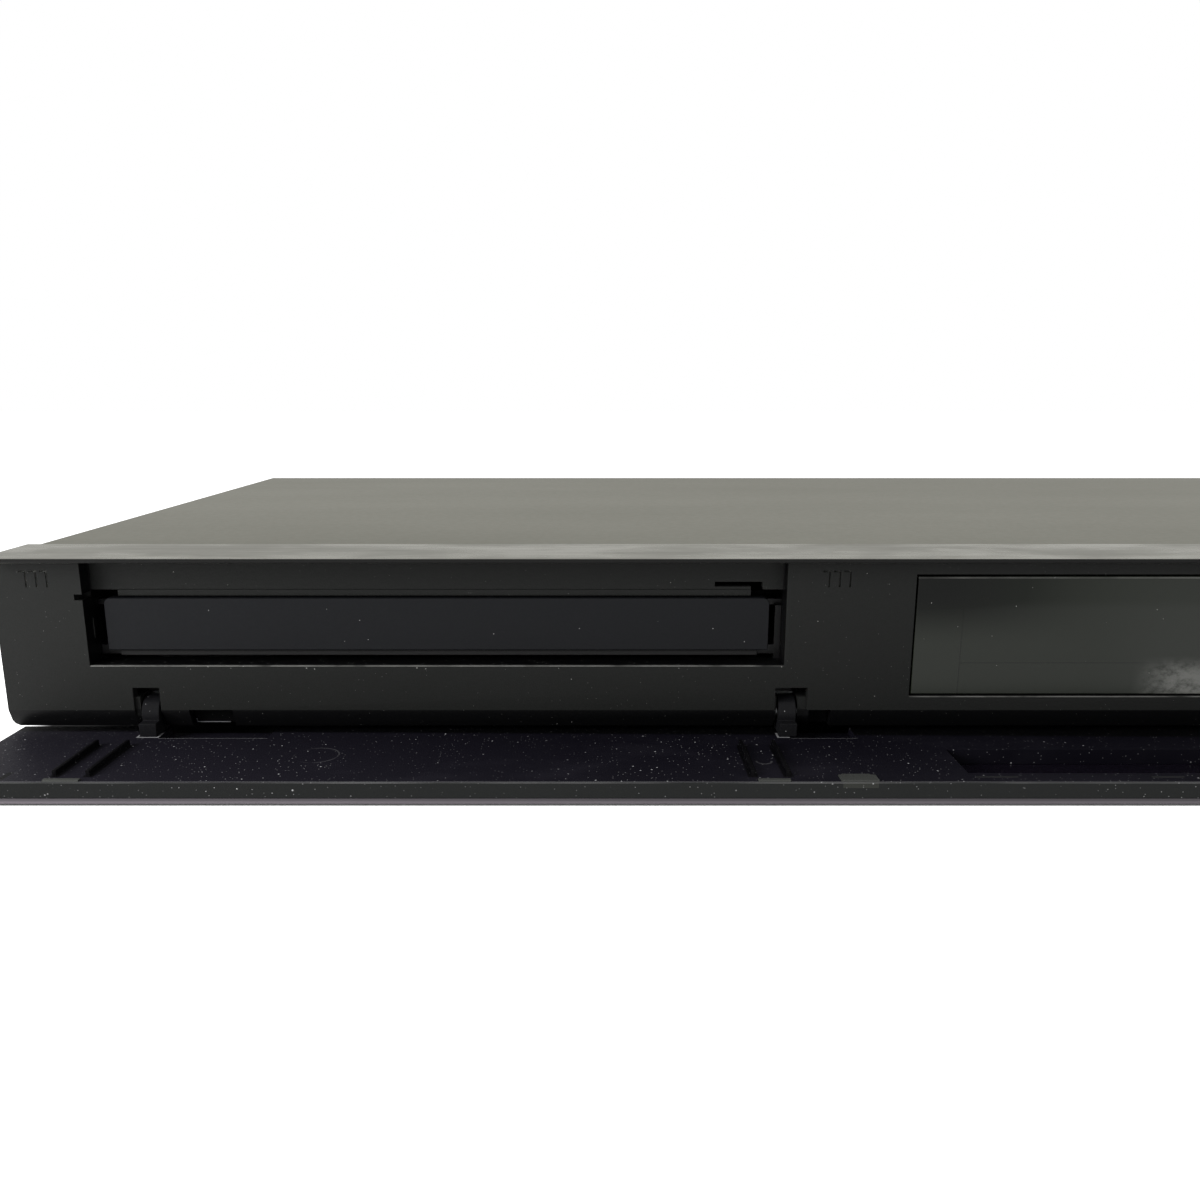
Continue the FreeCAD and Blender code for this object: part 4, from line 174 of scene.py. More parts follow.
def lamp(name, place, aim, wide, high, power):
    """A soft rectangular lamp, in metres and watts."""
    light = bpy.data.lights.new(name, "AREA")
    light.shape = "RECTANGLE"
    light.size, light.size_y, light.energy = wide, high, power
    holder = link(name, light)
    holder.location = place
    holder.rotation_euler = (Vector(aim) - Vector(place)).to_track_quat("-Z", "Y").to_euler()
    return holder


lamp("overhead_softbox", place=(0, 0.15, 1.1), aim=(0, 0, 0), wide=1.5, high=1.1, power=7)
side_lamp = lamp("left_softbox", place=(-0.48, -0.32, 0.18), aim=(-0.2, -0.08, 0.03),
                 wide=0.25, high=0.2, power=3.2)
side_lamp.visible_glossy = False

EYE, LOOKING_DOWN = (-93.3, -215.0, 74.8), 13.945
LENS, SENSOR, SHIFT = 32.55, 36, (0.0025, 0.046)
camera = link("camera", bpy.data.cameras.new("camera"))
camera.location = at(*EYE)
camera.rotation_euler = (math.radians(90 - LOOKING_DOWN), 0, 0)
camera.data.lens, camera.data.sensor_width = LENS, SENSOR
camera.data.shift_x, camera.data.shift_y = SHIFT
camera.data.clip_start = 0.01
scene.camera = camera


# Bottom pan.
# A tray folded from bare zinc-coated sheet, pierced with cooling slots and holes for its screws.
# The coating is dull, with faint rolling lines and soft crystals.
class Finish(Paint):
    """A Principled finish with its fixed values; what varies over the surface is joined to it."""

    def __init__(self, name, colour, roughness, **fixed):
        super().__init__(bpy.data.materials.new(name))
        self.shader = self.tree.nodes.new("ShaderNodeBsdfPrincipled")
        self.tree.links.new(self.shader.outputs[0],
                            self.tree.nodes.new("ShaderNodeOutputMaterial").inputs[0])
        self.shader.inputs["Base Color"].default_value = (*colour, 1)
        self.shader.inputs["Roughness"].default_value = roughness
        for name, value in fixed.items():
            socket = name.replace("_", " ").title().replace("Ior", "IOR")
            self.shader.inputs[socket].default_value = value
        self.place = self.add("ShaderNodeTexCoord", output="Object")

    def spread(self, stretch=(1, 1, 1)):
        """Object coordinates, stretched along the axes."""
        return self.add("ShaderNodeMapping", {}, {"Vector": self.place, "Scale": stretch})

    def noise(self, scale, detail=2, stretch=(1, 1, 1), rough=0.5):
        return self.add("ShaderNodeTexNoise", {}, {"Vector": self.spread(stretch), "Scale": scale,
                                                   "Detail": detail, "Roughness": rough})

    def cells(self, scale, output="Distance"):
        return self.add("ShaderNodeTexVoronoi", {}, {"Vector": self.spread(), "Scale": scale}, output)

    def chance(self, scale):
        """A random value for each cell of a pattern."""
        return self.add("ShaderNodeSeparateColor", {}, {"Color": self.cells(scale, "Color")})

    def fade(self, value, low, high):
        """0 below low, 1 above high, and a smooth rise between."""
        return self.add("ShaderNodeMapRange", {"interpolation_type": "SMOOTHSTEP"},
                        {"Value": value, "From Min": low, "From Max": high})

    def specks(self, scale, size, share):
        """Round specks on a random share of the cells."""
        chosen = self.chance(scale) > 1 - share
        return (1 - self.fade(self.cells(scale), size * 0.6, size)) * chosen

    def blend(self, mask, low, high):
        """From one colour to another by a mask."""
        low, high = (value if isinstance(value, Wire) else (*value, 1) for value in (low, high))
        return self.add("ShaderNodeMix", {"data_type": "RGBA"}, {0: mask, 6: low, 7: high}, 2)

    def across(self):
        """Millimetres across, in from the face and up, as three values."""
        moved = self.add("ShaderNodeVectorMath", {"operation": "SUBTRACT"},
                         {0: self.place, 1: (0, FACE, 0)})
        return [value * 1000 for value in self.outputs("ShaderNodeSeparateXYZ", "XYZ", {"Vector": moved})]

    def vary(self, colour=None, roughness=None, height=None, strength=0.2, depth=0.0001):
        """Joins what varies: colour and roughness as they are, height through a Bump node."""
        for name, value in (("Base Color", colour), ("Roughness", roughness)):
            if value is not None:
                self.tree.links.new(value.socket, self.shader.inputs[name])
        if height is not None:
            bump = self.add("ShaderNodeBump", {}, {"Height": height, "Strength": strength,
                                                   "Distance": depth})
            self.tree.links.new(bump.socket, self.shader.inputs["Normal"])
        return self.owner


def wear(piece, material):
    """Put a finish on every slot of a piece."""
    if not piece.material_slots:
        piece.data.materials.append(material)
    for place in piece.material_slots:
        place.material = material


def finished(piece):
    """The piece with its modifiers turned into plain mesh."""
    whole = bpy.data.meshes.new_from_object(piece.evaluated_get(bpy.context.evaluated_depsgraph_get()))
    piece.modifiers.clear()
    piece.data = whole
    return piece


SHARP, FLAT = math.radians(30), math.radians(0.4)
TOUCHING = 0.000002


def rounded(piece, radius):
    """Round a piece's sharp edges, by a radius in millimetres."""
    edge = piece.modifiers.new("edge", "BEVEL")
    edge.width, edge.segments, edge.limit_method = radius * MM, 2, "ANGLE"
    edge.angle_limit, edge.use_clamp_overlap = SHARP, True
    level = piece.modifiers.new("level", "WEIGHTED_NORMAL")
    level.weight, level.keep_sharp = 100, True
    for side in piece.data.polygons:
        side.use_smooth = True
    return finished(piece)


def merged(node):
    """A copy of a CAD piece with its loose triangles merged."""
    form = bmesh.new()
    form.from_mesh(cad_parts[node].data)
    bmesh.ops.remove_doubles(form, verts=form.verts, dist=TOUCHING)
    return form


def drawn(name, form):
    """A drawn form as a piece."""
    mesh = bpy.data.meshes.new(name)
    form.to_mesh(mesh)
    form.free()
    return link(name, mesh)


def softened(node, radius):
    """A CAD piece with flat sides and its sharp edges rounded."""
    form = merged(node)
    bmesh.ops.dissolve_limit(form, angle_limit=FLAT, verts=form.verts, edges=form.edges)
    return rounded(drawn(node + "_body", form), radius)


def fit(piece, body, slot, material, *nodes):
    """Finish a piece: its material, its body and the CAD pieces that it stands for. The slot is not used."""
    if material is not None:
        wear(piece, material)
    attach(piece, body)
    if nodes:
        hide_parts(*nodes)
    return piece


zinc = Finish("zinc_coating", (0.42, 0.43, 0.44), 0.42, metallic=1)
crystals = zinc.chance(160)
rolling = zinc.noise(900, 3, (0.02, 1, 1))
shade = zinc.blend(crystals * 0.5 + rolling * 0.5, (0.34, 0.35, 0.36), (0.5, 0.51, 0.52))
zinc_coating = zinc.vary(shade, 0.34 + rolling * 0.12 + crystals * 0.08, rolling, 0.15)
fit(softened("chassis_base", 0.2), "case", "zinc_steel", zinc_coating, "chassis_base")

# Feet.
# Four round feet moulded in soft black plastic, each pushed into the pan by its stud.
rubber = Finish("foot_rubber", (0.02, 0.02, 0.021), 0.7, specular_ior_level=0.3)
grit = rubber.noise(2600, 3)
shade = rubber.blend(rubber.noise(60, 3), (0.014, 0.014, 0.015), (0.032, 0.031, 0.03))
foot_rubber = rubber.vary(shade, 0.6 + grit * 0.25, grit, 0.25)
for feet in ("front_feet", "rear_feet"):
    fit(softened(feet, 0.35), "case", "foot_rubber", foot_rubber, feet)

# Inner pressings.
# The drive's traverse, its clamp bridge, its motors' cans, the disk's bracket and the screened
# tuner box are bright zinc-coated steel. The guide rods, lead screw and hinge pins are ground.
bright = Finish("bright_pressing", (0.5, 0.51, 0.52), 0.3, metallic=1)
grain = bright.noise(1200, 3, (1, 0.03, 1))
bright_pressing = bright.vary(bright.blend(grain, (0.42, 0.43, 0.45), (0.58, 0.59, 0.6)),
                              0.24 + grain * 0.18, grain, 0.1)


def coat(material, *nodes):
    """Put a finish on CAD pieces that keep their shape."""
    for node in nodes:
        wear(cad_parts[node], material)


coat(bright_pressing, "clamp_bridge", "hard_disk_bracket", "tuner_module", "traverse_chassis", "guide_rods",
     "lead_screw", "flap_hinge_pins", "loading_motor", "spindle_motor", "sled_motor")

# Disk and heat sink.
# The disk's body is cast aluminium with a smooth lid, and the heat sink is extruded.
cast = Finish("cast_aluminium", (0.48, 0.48, 0.49), 0.45, metallic=1)
grain = cast.noise(1500, 4)
cast_aluminium = cast.vary(cast.blend(cast.noise(90, 3), (0.38, 0.38, 0.39), (0.55, 0.55, 0.56)),
                           0.38 + grain * 0.2, grain, 0.2)
coat(cast_aluminium, "hard_disk", "heat_sink")

# Circuit boards.
# Glass-fibre boards under green solder mask, with copper tracks that show lighter.
mask_green = Finish("solder_mask", (0.02, 0.11, 0.05), 0.35, coat_weight=0.3)
tracks = mask_green.fade(mask_green.noise(140, 0, (1, 3, 1)) % 0.06, 0.02, 0.03)
solder_mask = mask_green.vary(mask_green.blend(tracks, (0.012, 0.075, 0.035), (0.03, 0.15, 0.07)),
                              0.3 + mask_green.noise(300, 2) * 0.15, tracks, 0.15)
coat(solder_mask, "main_board", "power_board", "front_board")

# Transformer.
# A ferrite core round a coil wrapped in yellow tape.
tape = Finish("coil_tape", (0.5, 0.36, 0.08), 0.4)
turns = tape.add("ShaderNodeTexWave", {"bands_direction": "Z"}, {"Vector": tape.place, "Scale": 130,
                                                                "Distortion": 0.4})
coil_tape = tape.vary(tape.blend(turns, (0.42, 0.29, 0.05), (0.6, 0.45, 0.12)), 0.35 + turns * 0.15,
                      turns, 0.3)
coat(coil_tape, "transformer")

# Inner cables.
# Flat white cables and soft vinyl leads between the boards, the drive and the disk.
vinyl = Finish("cable_vinyl", (0.7, 0.7, 0.68), 0.45)
cores = vinyl.add("ShaderNodeTexWave", {"bands_direction": "DIAGONAL"}, {"Vector": vinyl.place,
                                                                        "Scale": 320})
cable_vinyl = vinyl.vary(vinyl.blend(cores, (0.6, 0.6, 0.58), (0.76, 0.76, 0.74)), 0.4 + cores * 0.1,
                         cores, 0.2)
coat(cable_vinyl, "front_ribbon", "drive_ribbon", "hard_disk_cable", "inner_leads")

# Drive mouldings.
# The drive's frame, tray, wheels, cam, clamper, sled and turntable and the card holder are
# black moulded plastic, satin and very slightly mottled. Its dampers and belt are rubber.
moulded = Finish("black_moulding", (0.008, 0.008, 0.0085), 0.42, specular_ior_level=0.25)
grain = moulded.noise(2200, 2)
shade = moulded.blend(moulded.noise(45, 3), (0.006, 0.006, 0.0065), (0.01, 0.01, 0.0105))
black_moulding = moulded.vary(shade, 0.36 + grain * 0.16, grain, 0.12)
coat(black_moulding, "cam_slider", "loading_gear", "motor_pulley", "clamper", "turntable", "pickup_sled")
coat(foot_rubber, "drive_dampers", "drive_belt")
for name, body in (("drive_frame", "case"), ("disc_tray", "tray"), ("card_slot", "case")):
    fit(softened(name, 0.15), body, "black_plastic", black_moulding, name)

# Pickup lens and display glass.
# A small coated lens on the sled, and the dark glass of the display behind the window.
def grained(name, scale, low, high, smoothest, rougher, **fixed):
    """A finish whose colour and roughness both follow one fine grain."""
    middle = [(dark + light) / 2 for dark, light in zip(low, high)]
    made = Finish(name, middle, smoothest + rougher / 2, **fixed)
    grain = made.noise(scale)
    return made.vary(made.blend(grain, low, high), smoothest + grain * rougher)


coated_glass = grained("coated_glass", 400, (0.006, 0.008, 0.02), (0.02, 0.02, 0.045), 0.04, 0.05,
                       coat_weight=1)
coat(coated_glass, "pickup_lens", "display_module")

# Screws.
# Black zinc-plated pan heads with a cross recess, in the sides, the rear and the boards.
black_zinc = grained("black_zinc", 1800, (0.05, 0.05, 0.055), (0.13, 0.13, 0.135), 0.28, 0.2, metallic=1)
coat(black_zinc, "board_screws", "drive_screws")


def solids(node):
    """The lowest and highest corner of each separate solid in a CAD node."""
    form = merged(node)
    left, boxes = set(form.verts), []
    while left:
        reach = [left.pop()]
        for point in reach:
            for edge in point.link_edges:
                other = edge.other_vert(point)
                if other in left:
                    left.remove(other)
                    reach.append(other)
        low = Vector([min(point.co[axis] for point in reach) for axis in range(3)])
        high = Vector([max(point.co[axis] for point in reach) for axis in range(3)])
        boxes.append((low, high))
    form.free()
    return sorted(boxes, key=lambda box: tuple(box[0]))


class Growth:
    """A Geometry Nodes tree with named inputs."""

    KINDS = {float: "NodeSocketFloat", bpy.types.Material: "NodeSocketMaterial"}

    def __init__(self, name, **values):
        self.tree = bpy.data.node_groups.new(name, "GeometryNodeTree")
        self.tree.interface.new_socket("Geometry", in_out="INPUT", socket_type="NodeSocketGeometry")
        self.tree.interface.new_socket("Geometry", in_out="OUTPUT", socket_type="NodeSocketGeometry")
        self.values = values
        self.named = {}
        for label, value in values.items():
            kind = next(self.KINDS[base] for base in self.KINDS if isinstance(value, base))
            socket = self.tree.interface.new_socket(label, in_out="INPUT", socket_type=kind)
            self.named[label] = socket.identifier
        self.start = self.tree.nodes.new("NodeGroupInput")

    def __getitem__(self, label):
        return self.start.outputs[label]

    def add(self, kind, settings=(), sockets=(), output=0):
        """Any node: its settings first, then the values or links of its sockets."""
        node = self.tree.nodes.new(kind)
        for name, value in dict(settings).items():
            setattr(node, name, value)
        for name, value in dict(sockets).items():
            if isinstance(value, bpy.types.NodeSocket):
                self.tree.links.new(value, node.inputs[name])
            else:
                node.inputs[name].default_value = value
        return node.outputs[output]

    def maths(self, operation, first, second):
        return self.add("ShaderNodeMath", {"operation": operation}, {0: first, 1: second})

    def vector(self, x, y, z):
        return self.add("ShaderNodeCombineXYZ", {}, {"X": x, "Y": y, "Z": z})

    def lift(self, shape, height):
        return self.add("GeometryNodeTransform", {}, {"Geometry": shape,
                                                      "Translation": self.vector(0, 0, height)})

    def stand(self, shape):
        """A copy of a shape at each point, turned the way that the point faces."""
        facing = self.add("GeometryNodeInputNamedAttribute", {"data_type": "FLOAT_VECTOR"},
                          {"Name": "facing"})
        turn = self.add("FunctionNodeAlignRotationToVector", {"axis": "Z"}, {"Vector": facing})
        return self.add("GeometryNodeInstanceOnPoints", {}, {
            "Points": self["Geometry"], "Instance": shape, "Rotation": turn})

    def grow(self, name, mesh, result):
        """End the tree, run it on a mesh and keep the result as a plain piece."""
        whole = self.add("GeometryNodeRealizeInstances", {}, {"Geometry": result})
        whole = self.add("GeometryNodeSetMaterial", {}, {"Geometry": whole, "Material": self["finish"]})
        end = self.tree.nodes.new("NodeGroupOutput")
        self.tree.links.new(whole, end.inputs["Geometry"])
        piece = link(name, mesh)
        run = piece.modifiers.new("growth", "NODES")
        run.node_group = self.tree
        for label, value in self.values.items():
            run[self.named[label]] = value
        return finished(piece)


def points(name, places, facings):
    """Loose points, each with the direction that it faces."""
    mesh = bpy.data.meshes.new(name)
    mesh.from_pydata([tuple(place) for place in places], [], [])
    facing = mesh.attributes.new("facing", "FLOAT_VECTOR", "POINT")
    for index, direction in enumerate(facings):
        facing.data[index].vector = direction
    return mesh


SIDE_WALL = 0.2065
heads, ways = [], []
for low, high in solids("case_screws"):
    tip = (low + high) / 2
    axis = 1 if abs(tip.x) < SIDE_WALL else 0
    way = Vector((0, 1, 0)) if axis else Vector((math.copysign(1, tip.x), 0, 0))
    tip[axis] = high[axis] if way[axis] > 0 else low[axis]
    heads.append(tip)
    ways.append(way)
screw = Growth("cross_head_screws", head_radius=3.0 * MM, head_height=1.2 * MM, recess=3.2 * MM,
               blade=0.62 * MM, shank_radius=1.45 * MM, shank=3.6 * MM, finish=black_zinc)
dome = screw.add("GeometryNodeMeshUVSphere", {}, {
    "Segments": 32, "Rings": 16, "Radius": screw["head_radius"]})
squash = screw.maths("DIVIDE", screw["head_height"], screw["head_radius"])
dome = screw.add("GeometryNodeTransform", {}, {
    "Geometry": dome, "Scale": screw.vector(1, 1, squash),
    "Translation": screw.vector(0, 0, screw.maths("MULTIPLY", screw["head_height"], -1))})
rim = screw.add("GeometryNodeMeshCylinder", {}, {
    "Vertices": 32, "Radius": screw.maths("MULTIPLY", screw["head_radius"], 1.2),
    "Depth": screw["head_height"]})
rim = screw.lift(rim, screw.maths("MULTIPLY", screw["head_height"], -1.5))
long, thin, deep = screw["recess"], screw["blade"], screw["head_height"]
cross = [screw.add("GeometryNodeMeshCube", {}, {"Size": screw.vector(*size)})
         for size in ((long, thin, deep), (thin, long, deep))]
head = dome
for cutter in (rim, *cross):
    head = screw.add("GeometryNodeMeshBoolean", {"operation": "DIFFERENCE", "solver": "EXACT"},
                     {"Mesh 1": head, "Mesh 2": cutter})
shank = screw.add("GeometryNodeMeshCylinder", {}, {
    "Vertices": 20, "Radius": screw["shank_radius"], "Depth": screw["shank"]})
middle = screw.maths("SUBTRACT", screw.maths("MULTIPLY", screw["shank"], -0.5), screw["head_height"])
shank = screw.lift(shank, middle)
both = screw.add("GeometryNodeJoinGeometry")
for part in (head, shank):
    screw.tree.links.new(part, both.node.inputs[0])
fit(screw.grow("cross_head_screws", points("screw_places", heads, ways), screw.stand(both)),
    "case", "screw_steel", None, "case_screws")

# Rear panel and its sockets.
# A flat steel panel painted black, pierced for the sockets, the fan and its own screws. The
# sockets are bright steel with black tongues, and the fan and the inlet are black mouldings.
rear = Finish("rear_paint", (0.022, 0.022, 0.023), 0.5)
peel = rear.noise(900, 2)
rear_paint = rear.vary(rear.blend(rear.noise(30, 3), (0.017, 0.017, 0.018), (0.03, 0.03, 0.031)),
                       0.42 + peel * 0.18, peel, 0.25)
fit(softened("rear_panel", 0.15), "case", "zinc_steel", rear_paint, "rear_panel")


def lined(piece, material, margin):
    """Another finish on what lies inside a socket's mouth."""
    corners = [corner.co for corner in piece.data.vertices]
    low = [min(corner[axis] for corner in corners) + margin * MM for axis in range(3)]
    high = [max(corner[axis] for corner in corners) - margin * MM for axis in range(3)]
    wear(piece, bright_pressing)
    piece.data.materials.append(material)
    for side in piece.data.polygons:
        if all(low[axis] < side.center[axis] < high[axis] for axis in range(3)):
            side.material_index = len(piece.data.materials) - 1
    return piece


for name, margin in (("lan_socket", 1), ("rear_usb_socket", 0.3), ("hdmi_socket", 0.3),
                     ("front_usb_socket", 0.3)):
    fit(lined(softened(name, 0.08), black_moulding, margin), "case", "zinc_steel", None, name)
fit(softened("mains_inlet", 0.25), "case", "black_plastic", black_moulding, "mains_inlet")
fit(softened("fan_housing", 0.2), "case", "black_plastic", black_moulding, "fan_housing")
fit(softened("fan_rotor", 0.12), "rotor", "black_plastic", black_moulding, "fan_rotor")

# Socket contacts.
# Gilt spring wires in the network socket's mouth and flat gilt pads under the tongues of the
# two flat sockets, stamped from one strip.
NETWORK, CONTACT_PITCH, LEAN = (12, 180.2, 22.3), 1.02, (0, 1, 0.28)
FLAT_SOCKETS, FLAT_CONTACTS = ((31.6, 182.6, 16.25), (141, 5.0, 19.75)), (-3.5, -1, 1, 3.5)
gilt_plate = grained("gilt", 2600, (0.62, 0.4, 0.12), (0.8, 0.56, 0.22), 0.18, 0.2, metallic=1)
across, step, height = NETWORK
places = [at(across + (order - 3.5) * CONTACT_PITCH, step, height) for order in range(8)]
slopes = [Vector(LEAN)] * 8
for across, step, height in FLAT_SOCKETS:
    places += [at(across + side, step, height) for side in FLAT_CONTACTS]
    slopes += [Vector((0, 1, 0))] * len(FLAT_CONTACTS)
strip = Growth("socket_contacts", wide=0.5 * MM, thick=0.22 * MM, reach=6.5 * MM, finish=gilt_plate)
leaf = strip.add("GeometryNodeMeshCube", {}, {
    "Size": strip.vector(strip["wide"], strip["thick"], strip["reach"]), "Vertices X": 3, "Vertices Z": 8})
fit(strip.grow("socket_contacts", points("contact_places", places, slopes), strip.stand(leaf)),
    "case", "terminal_plating", None)

# Aerial terminals.
# Four nickel-plated turned barrels with a screw thread. Each holds a white insulator with the
# gilt socket of its centre contact.
nickel_plate = grained("nickel_plate", 1500, (0.52, 0.5, 0.46), (0.68, 0.66, 0.62), 0.14, 0.16, metallic=1)
ivory_insulator = grained("ivory_insulator", 1500, (0.6, 0.58, 0.52), (0.72, 0.7, 0.64), 0.32, 0.2)
ROOT, TOP, BACK, THREAD_DEPTH = 4.38, 184.7, 194.0, 6.1
barrels = [(1.4, TOP), (4.4, TOP), (4.4, 186.0), (4.7, 186.05), (4.7, 187.1), (4.05, 187.2), (4.05, 187.6),
           (ROOT, 187.8), (ROOT, BACK - 0.3), (ROOT - 0.3, BACK), (3.5, BACK), (3.2, BACK - 0.25),
           (3.2, BACK - 1.4), (1.4, BACK - 1.4)]
cores = [(0.75, BACK - 1.4), (3.2, BACK - 1.4), (3.2, BACK - 1.0), (2.9, BACK - 0.9), (1.5, BACK - 0.9),
         (1.35, BACK - 1.1), (0.75, BACK - 1.1)]
pins = [(0.45, BACK - 3), (0.75, BACK - 3), (0.75, BACK - 1.0), (0.6, BACK - 0.9), (0.45, BACK - 1.1)]
ends = [at(across, BACK, height) for across in (-31, -12.5) for height in (20, 33)]


def lathed(name, profile, segments=48):
    """The same turned piece at each terminal, from its radii and steps."""
    form = bmesh.new()
    for end in ends:
        rings = [[form.verts.new(at(end.x / MM + radius * math.cos(math.tau * turn / segments), step,
                                    end.z / MM + radius * math.sin(math.tau * turn / segments)))
                  for turn in range(segments)] for radius, step in profile]
        for first, after in zip(rings, rings[1:] + rings[:1]):
            for turn in range(segments):
                beside = (turn + 1) % segments
                form.faces.new((first[turn], first[beside], after[beside], after[turn]))
    bmesh.ops.recalc_face_normals(form, faces=form.faces)
    piece = drawn(name, form)
    for side in piece.data.polygons:
        side.use_smooth = True
    piece.data.set_sharp_from_angle(angle=SHARP)
    return piece


fit(lathed("terminal_barrels", barrels), "case", "terminal_plating", nickel_plate, "antenna_terminals")
fit(lathed("terminal_cores", cores, 32), "case", "black_plastic", ivory_insulator)
fit(lathed("terminal_pins", pins, 20), "case", "terminal_plating", gilt_plate)
thread = Growth("terminal_threads", pitch_radius=(ROOT + 0.02) * MM, ridge=0.28 * MM, rise=5.6 * MM,
                turns=7.0, finish=nickel_plate)
spiral = thread.add("GeometryNodeCurveSpiral", {}, {
    "Resolution": 40, "Rotations": thread["turns"], "Start Radius": thread["pitch_radius"],
    "End Radius": thread["pitch_radius"], "Height": thread["rise"]})
spiral = thread.add("GeometryNodeSetCurveNormal", {"mode": "Z_UP"}, {"Curve": spiral})
profile = thread.add("GeometryNodeCurvePrimitiveCircle", {}, {"Resolution": 4, "Radius": thread["ridge"]})
ridge = thread.add("GeometryNodeCurveToMesh", {}, {
    "Curve": spiral, "Profile Curve": profile, "Fill Caps": True})
fit(thread.grow("terminal_threads", points("thread_places", ends, [Vector((0, 1, 0))] * len(ends)),
                thread.stand(thread.lift(ridge, -THREAD_DEPTH * MM))),
    "case", "terminal_plating", None)

# Lid.
# A cover folded from thin steel, painted a satin dark warm grey, over the pan and its sides.
lid = Finish("satin_paint", (0.024, 0.024, 0.023), 0.4, metallic=0.4, specular_tint=(1, 0.98, 0.74, 1))
peel = lid.noise(700, 2)
cloud = lid.noise(14, 4, (0.35, 1, 1))
drag = lid.noise(60, 3, (0.05, 1, 1))
shade = lid.blend(cloud * 0.6 + drag * 0.4, (0.018, 0.018, 0.0173), (0.031, 0.031, 0.0298))
satin_paint = lid.vary(shade, 0.31 + cloud * 0.12 + peel * 0.05, peel, 0.12)
fit(softened("top_cover", 0.12), "case", "painted_steel", satin_paint, "top_cover")

# Trim strip.
# A dark anodised strip along the front of the lid, brushed along its length, with a lip over
# the panel. Its upright front faces carry painted shade: a nearly black copy of its finish,
# bare of the brushing.
brushed = Finish("brushed_strip", (0.04, 0.04, 0.036), 0.3, metallic=0.35, specular_ior_level=0.3,
                 specular_tint=(0.96, 0.94, 0.75, 1))
lines = brushed.noise(4600, 3, (0.004, 1, 1), 0.7)
streak = brushed.noise(330, 3, (0.06, 1, 1), 0.6)
patch = brushed.fade(brushed.noise(40, 4, (0.7, 1.5, 1), 0.6), 0.36, 0.64)
scratch = brushed.fade(lines, 0.62, 0.75)
shade = brushed.blend(lines * 0.5 + patch * 0.2 + scratch * 0.3, (0.03, 0.0298, 0.028),
                      (0.07, 0.069, 0.065))
brushed_strip = brushed.vary(shade, 0.14 + patch * 0.13 + streak * 0.12 + lines * 0.04,
                             lines * 0.04 + streak, 1, 0.05 * MM)
# Painted shade: a darker copy of the strip's finish for its upright faces, with dust specks.
edge = Finish("strip_edge", (0.0055, 0.0055, 0.0053), 0.45, specular_ior_level=0.12)
grain = edge.noise(2400, 2)
shade = edge.blend(grain, (0.004, 0.004, 0.0039), (0.0075, 0.0075, 0.0072))
strip_edge = edge.vary(edge.blend(edge.specks(700, 0.06, 0.1), shade, (0.4, 0.4, 0.4)), 0.4 + grain * 0.15)


LEVEL = 0.8


def two_tone(piece, flat, upright, before=math.inf):
    """One finish on the level faces and another on the upright ones in front of a step."""
    wear(piece, flat)
    piece.data.materials.append(upright)
    for side in piece.data.polygons:
        if abs(side.normal.z) < LEVEL and side.center.y < FACE + before * MM:
            side.material_index = len(piece.data.materials) - 1
    return piece


fit(two_tone(softened("top_trim", 0.1), brushed_strip, strip_edge), "case", "brushed_trim", None, "top_trim")


# Front panel.
# One moulding in fine matte charcoal plastic with a little dust and engraved catch marks, painted
# light inside against their shade. Painted highlights run along the edges below the mouth and the
# window, and the mouth's walls and the chin are painted dark as shade and made glossier.
def between(value, low, high):
    """1 where a measure lies between two others."""
    return (value > low) * (value < high)


MOUTH, WINDOW = (-197, -55), (-29, 100)
matte = Finish("matte_charcoal", (0.0094, 0.0098, 0.0093), 0.55, specular_ior_level=0.14)
grain = matte.noise(3200, 2)
x, y, z = matte.across()
in_mouth = between(x, *MOUTH)
# Painted highlight: thin bright lines along the edges below the mouth and the window.
painted_edge_highlight = between(z, 19.02, 19.24) * in_mouth | between(z, 12.5, 12.76) * between(x, *WINDOW)
painted_edge_highlight = painted_edge_highlight * (y < 0.6) * matte.fade(matte.noise(160, 3, (1, 0.2, 0.2)), 0.25, 0.6)
sill = between(z, 18.4, 19.3) * in_mouth
scuff = between(x, -197.5, -196.5) * between(y, 3.6, 3.85) * between(z, 24.2, 28.5)
# Dust specks, with the painted edge highlight and a bright scratch on the mouth's left wall.
dust = matte.specks(640, 0.06, 0.1) * 0.8 | matte.specks(2300, 0.13, 0.06) * 0.4 | painted_edge_highlight * 0.3 | scuff * 0.4
dust = dust | matte.specks(1100, 0.16, 0.3) * sill * 0.6
shade = matte.blend(matte.noise(20, 3), (0.008, 0.0085, 0.008), (0.0108, 0.0112, 0.0106))
# Painted shade: the mouth's walls and the chin are near black, and glossier.
wall = between(x, -197.3, -196.8) | between(x, -55.2, -54.7) | between(z, 19, 19.3) * in_mouth
painted_shade_and_gloss = wall * (y > 0.35) * (z > 19) | (z < 9.68)
shade = matte.blend(painted_shade_and_gloss, shade, (0.0022, 0.0022, 0.0024))
# Painted light: the engraved catch marks are lighter inside, against the shade in them.
painted_groove_light = (y > 0.25) * between(z, 35.3, 39.1) * ((x < -203) | between(x, -48.2, -41.5) * 0.3)
shade = matte.blend(painted_groove_light, shade, (0.2, 0.203, 0.19))
matte_charcoal = matte.vary(matte.blend(dust, shade, (0.4, 0.4, 0.38)),
                            0.48 + grain * 0.16 - painted_shade_and_gloss * 0.2, grain * (1 - painted_shade_and_gloss), 0.3)
fit(softened("front_panel", 0.22), "case", "panel_plastic", matte_charcoal, "front_panel")


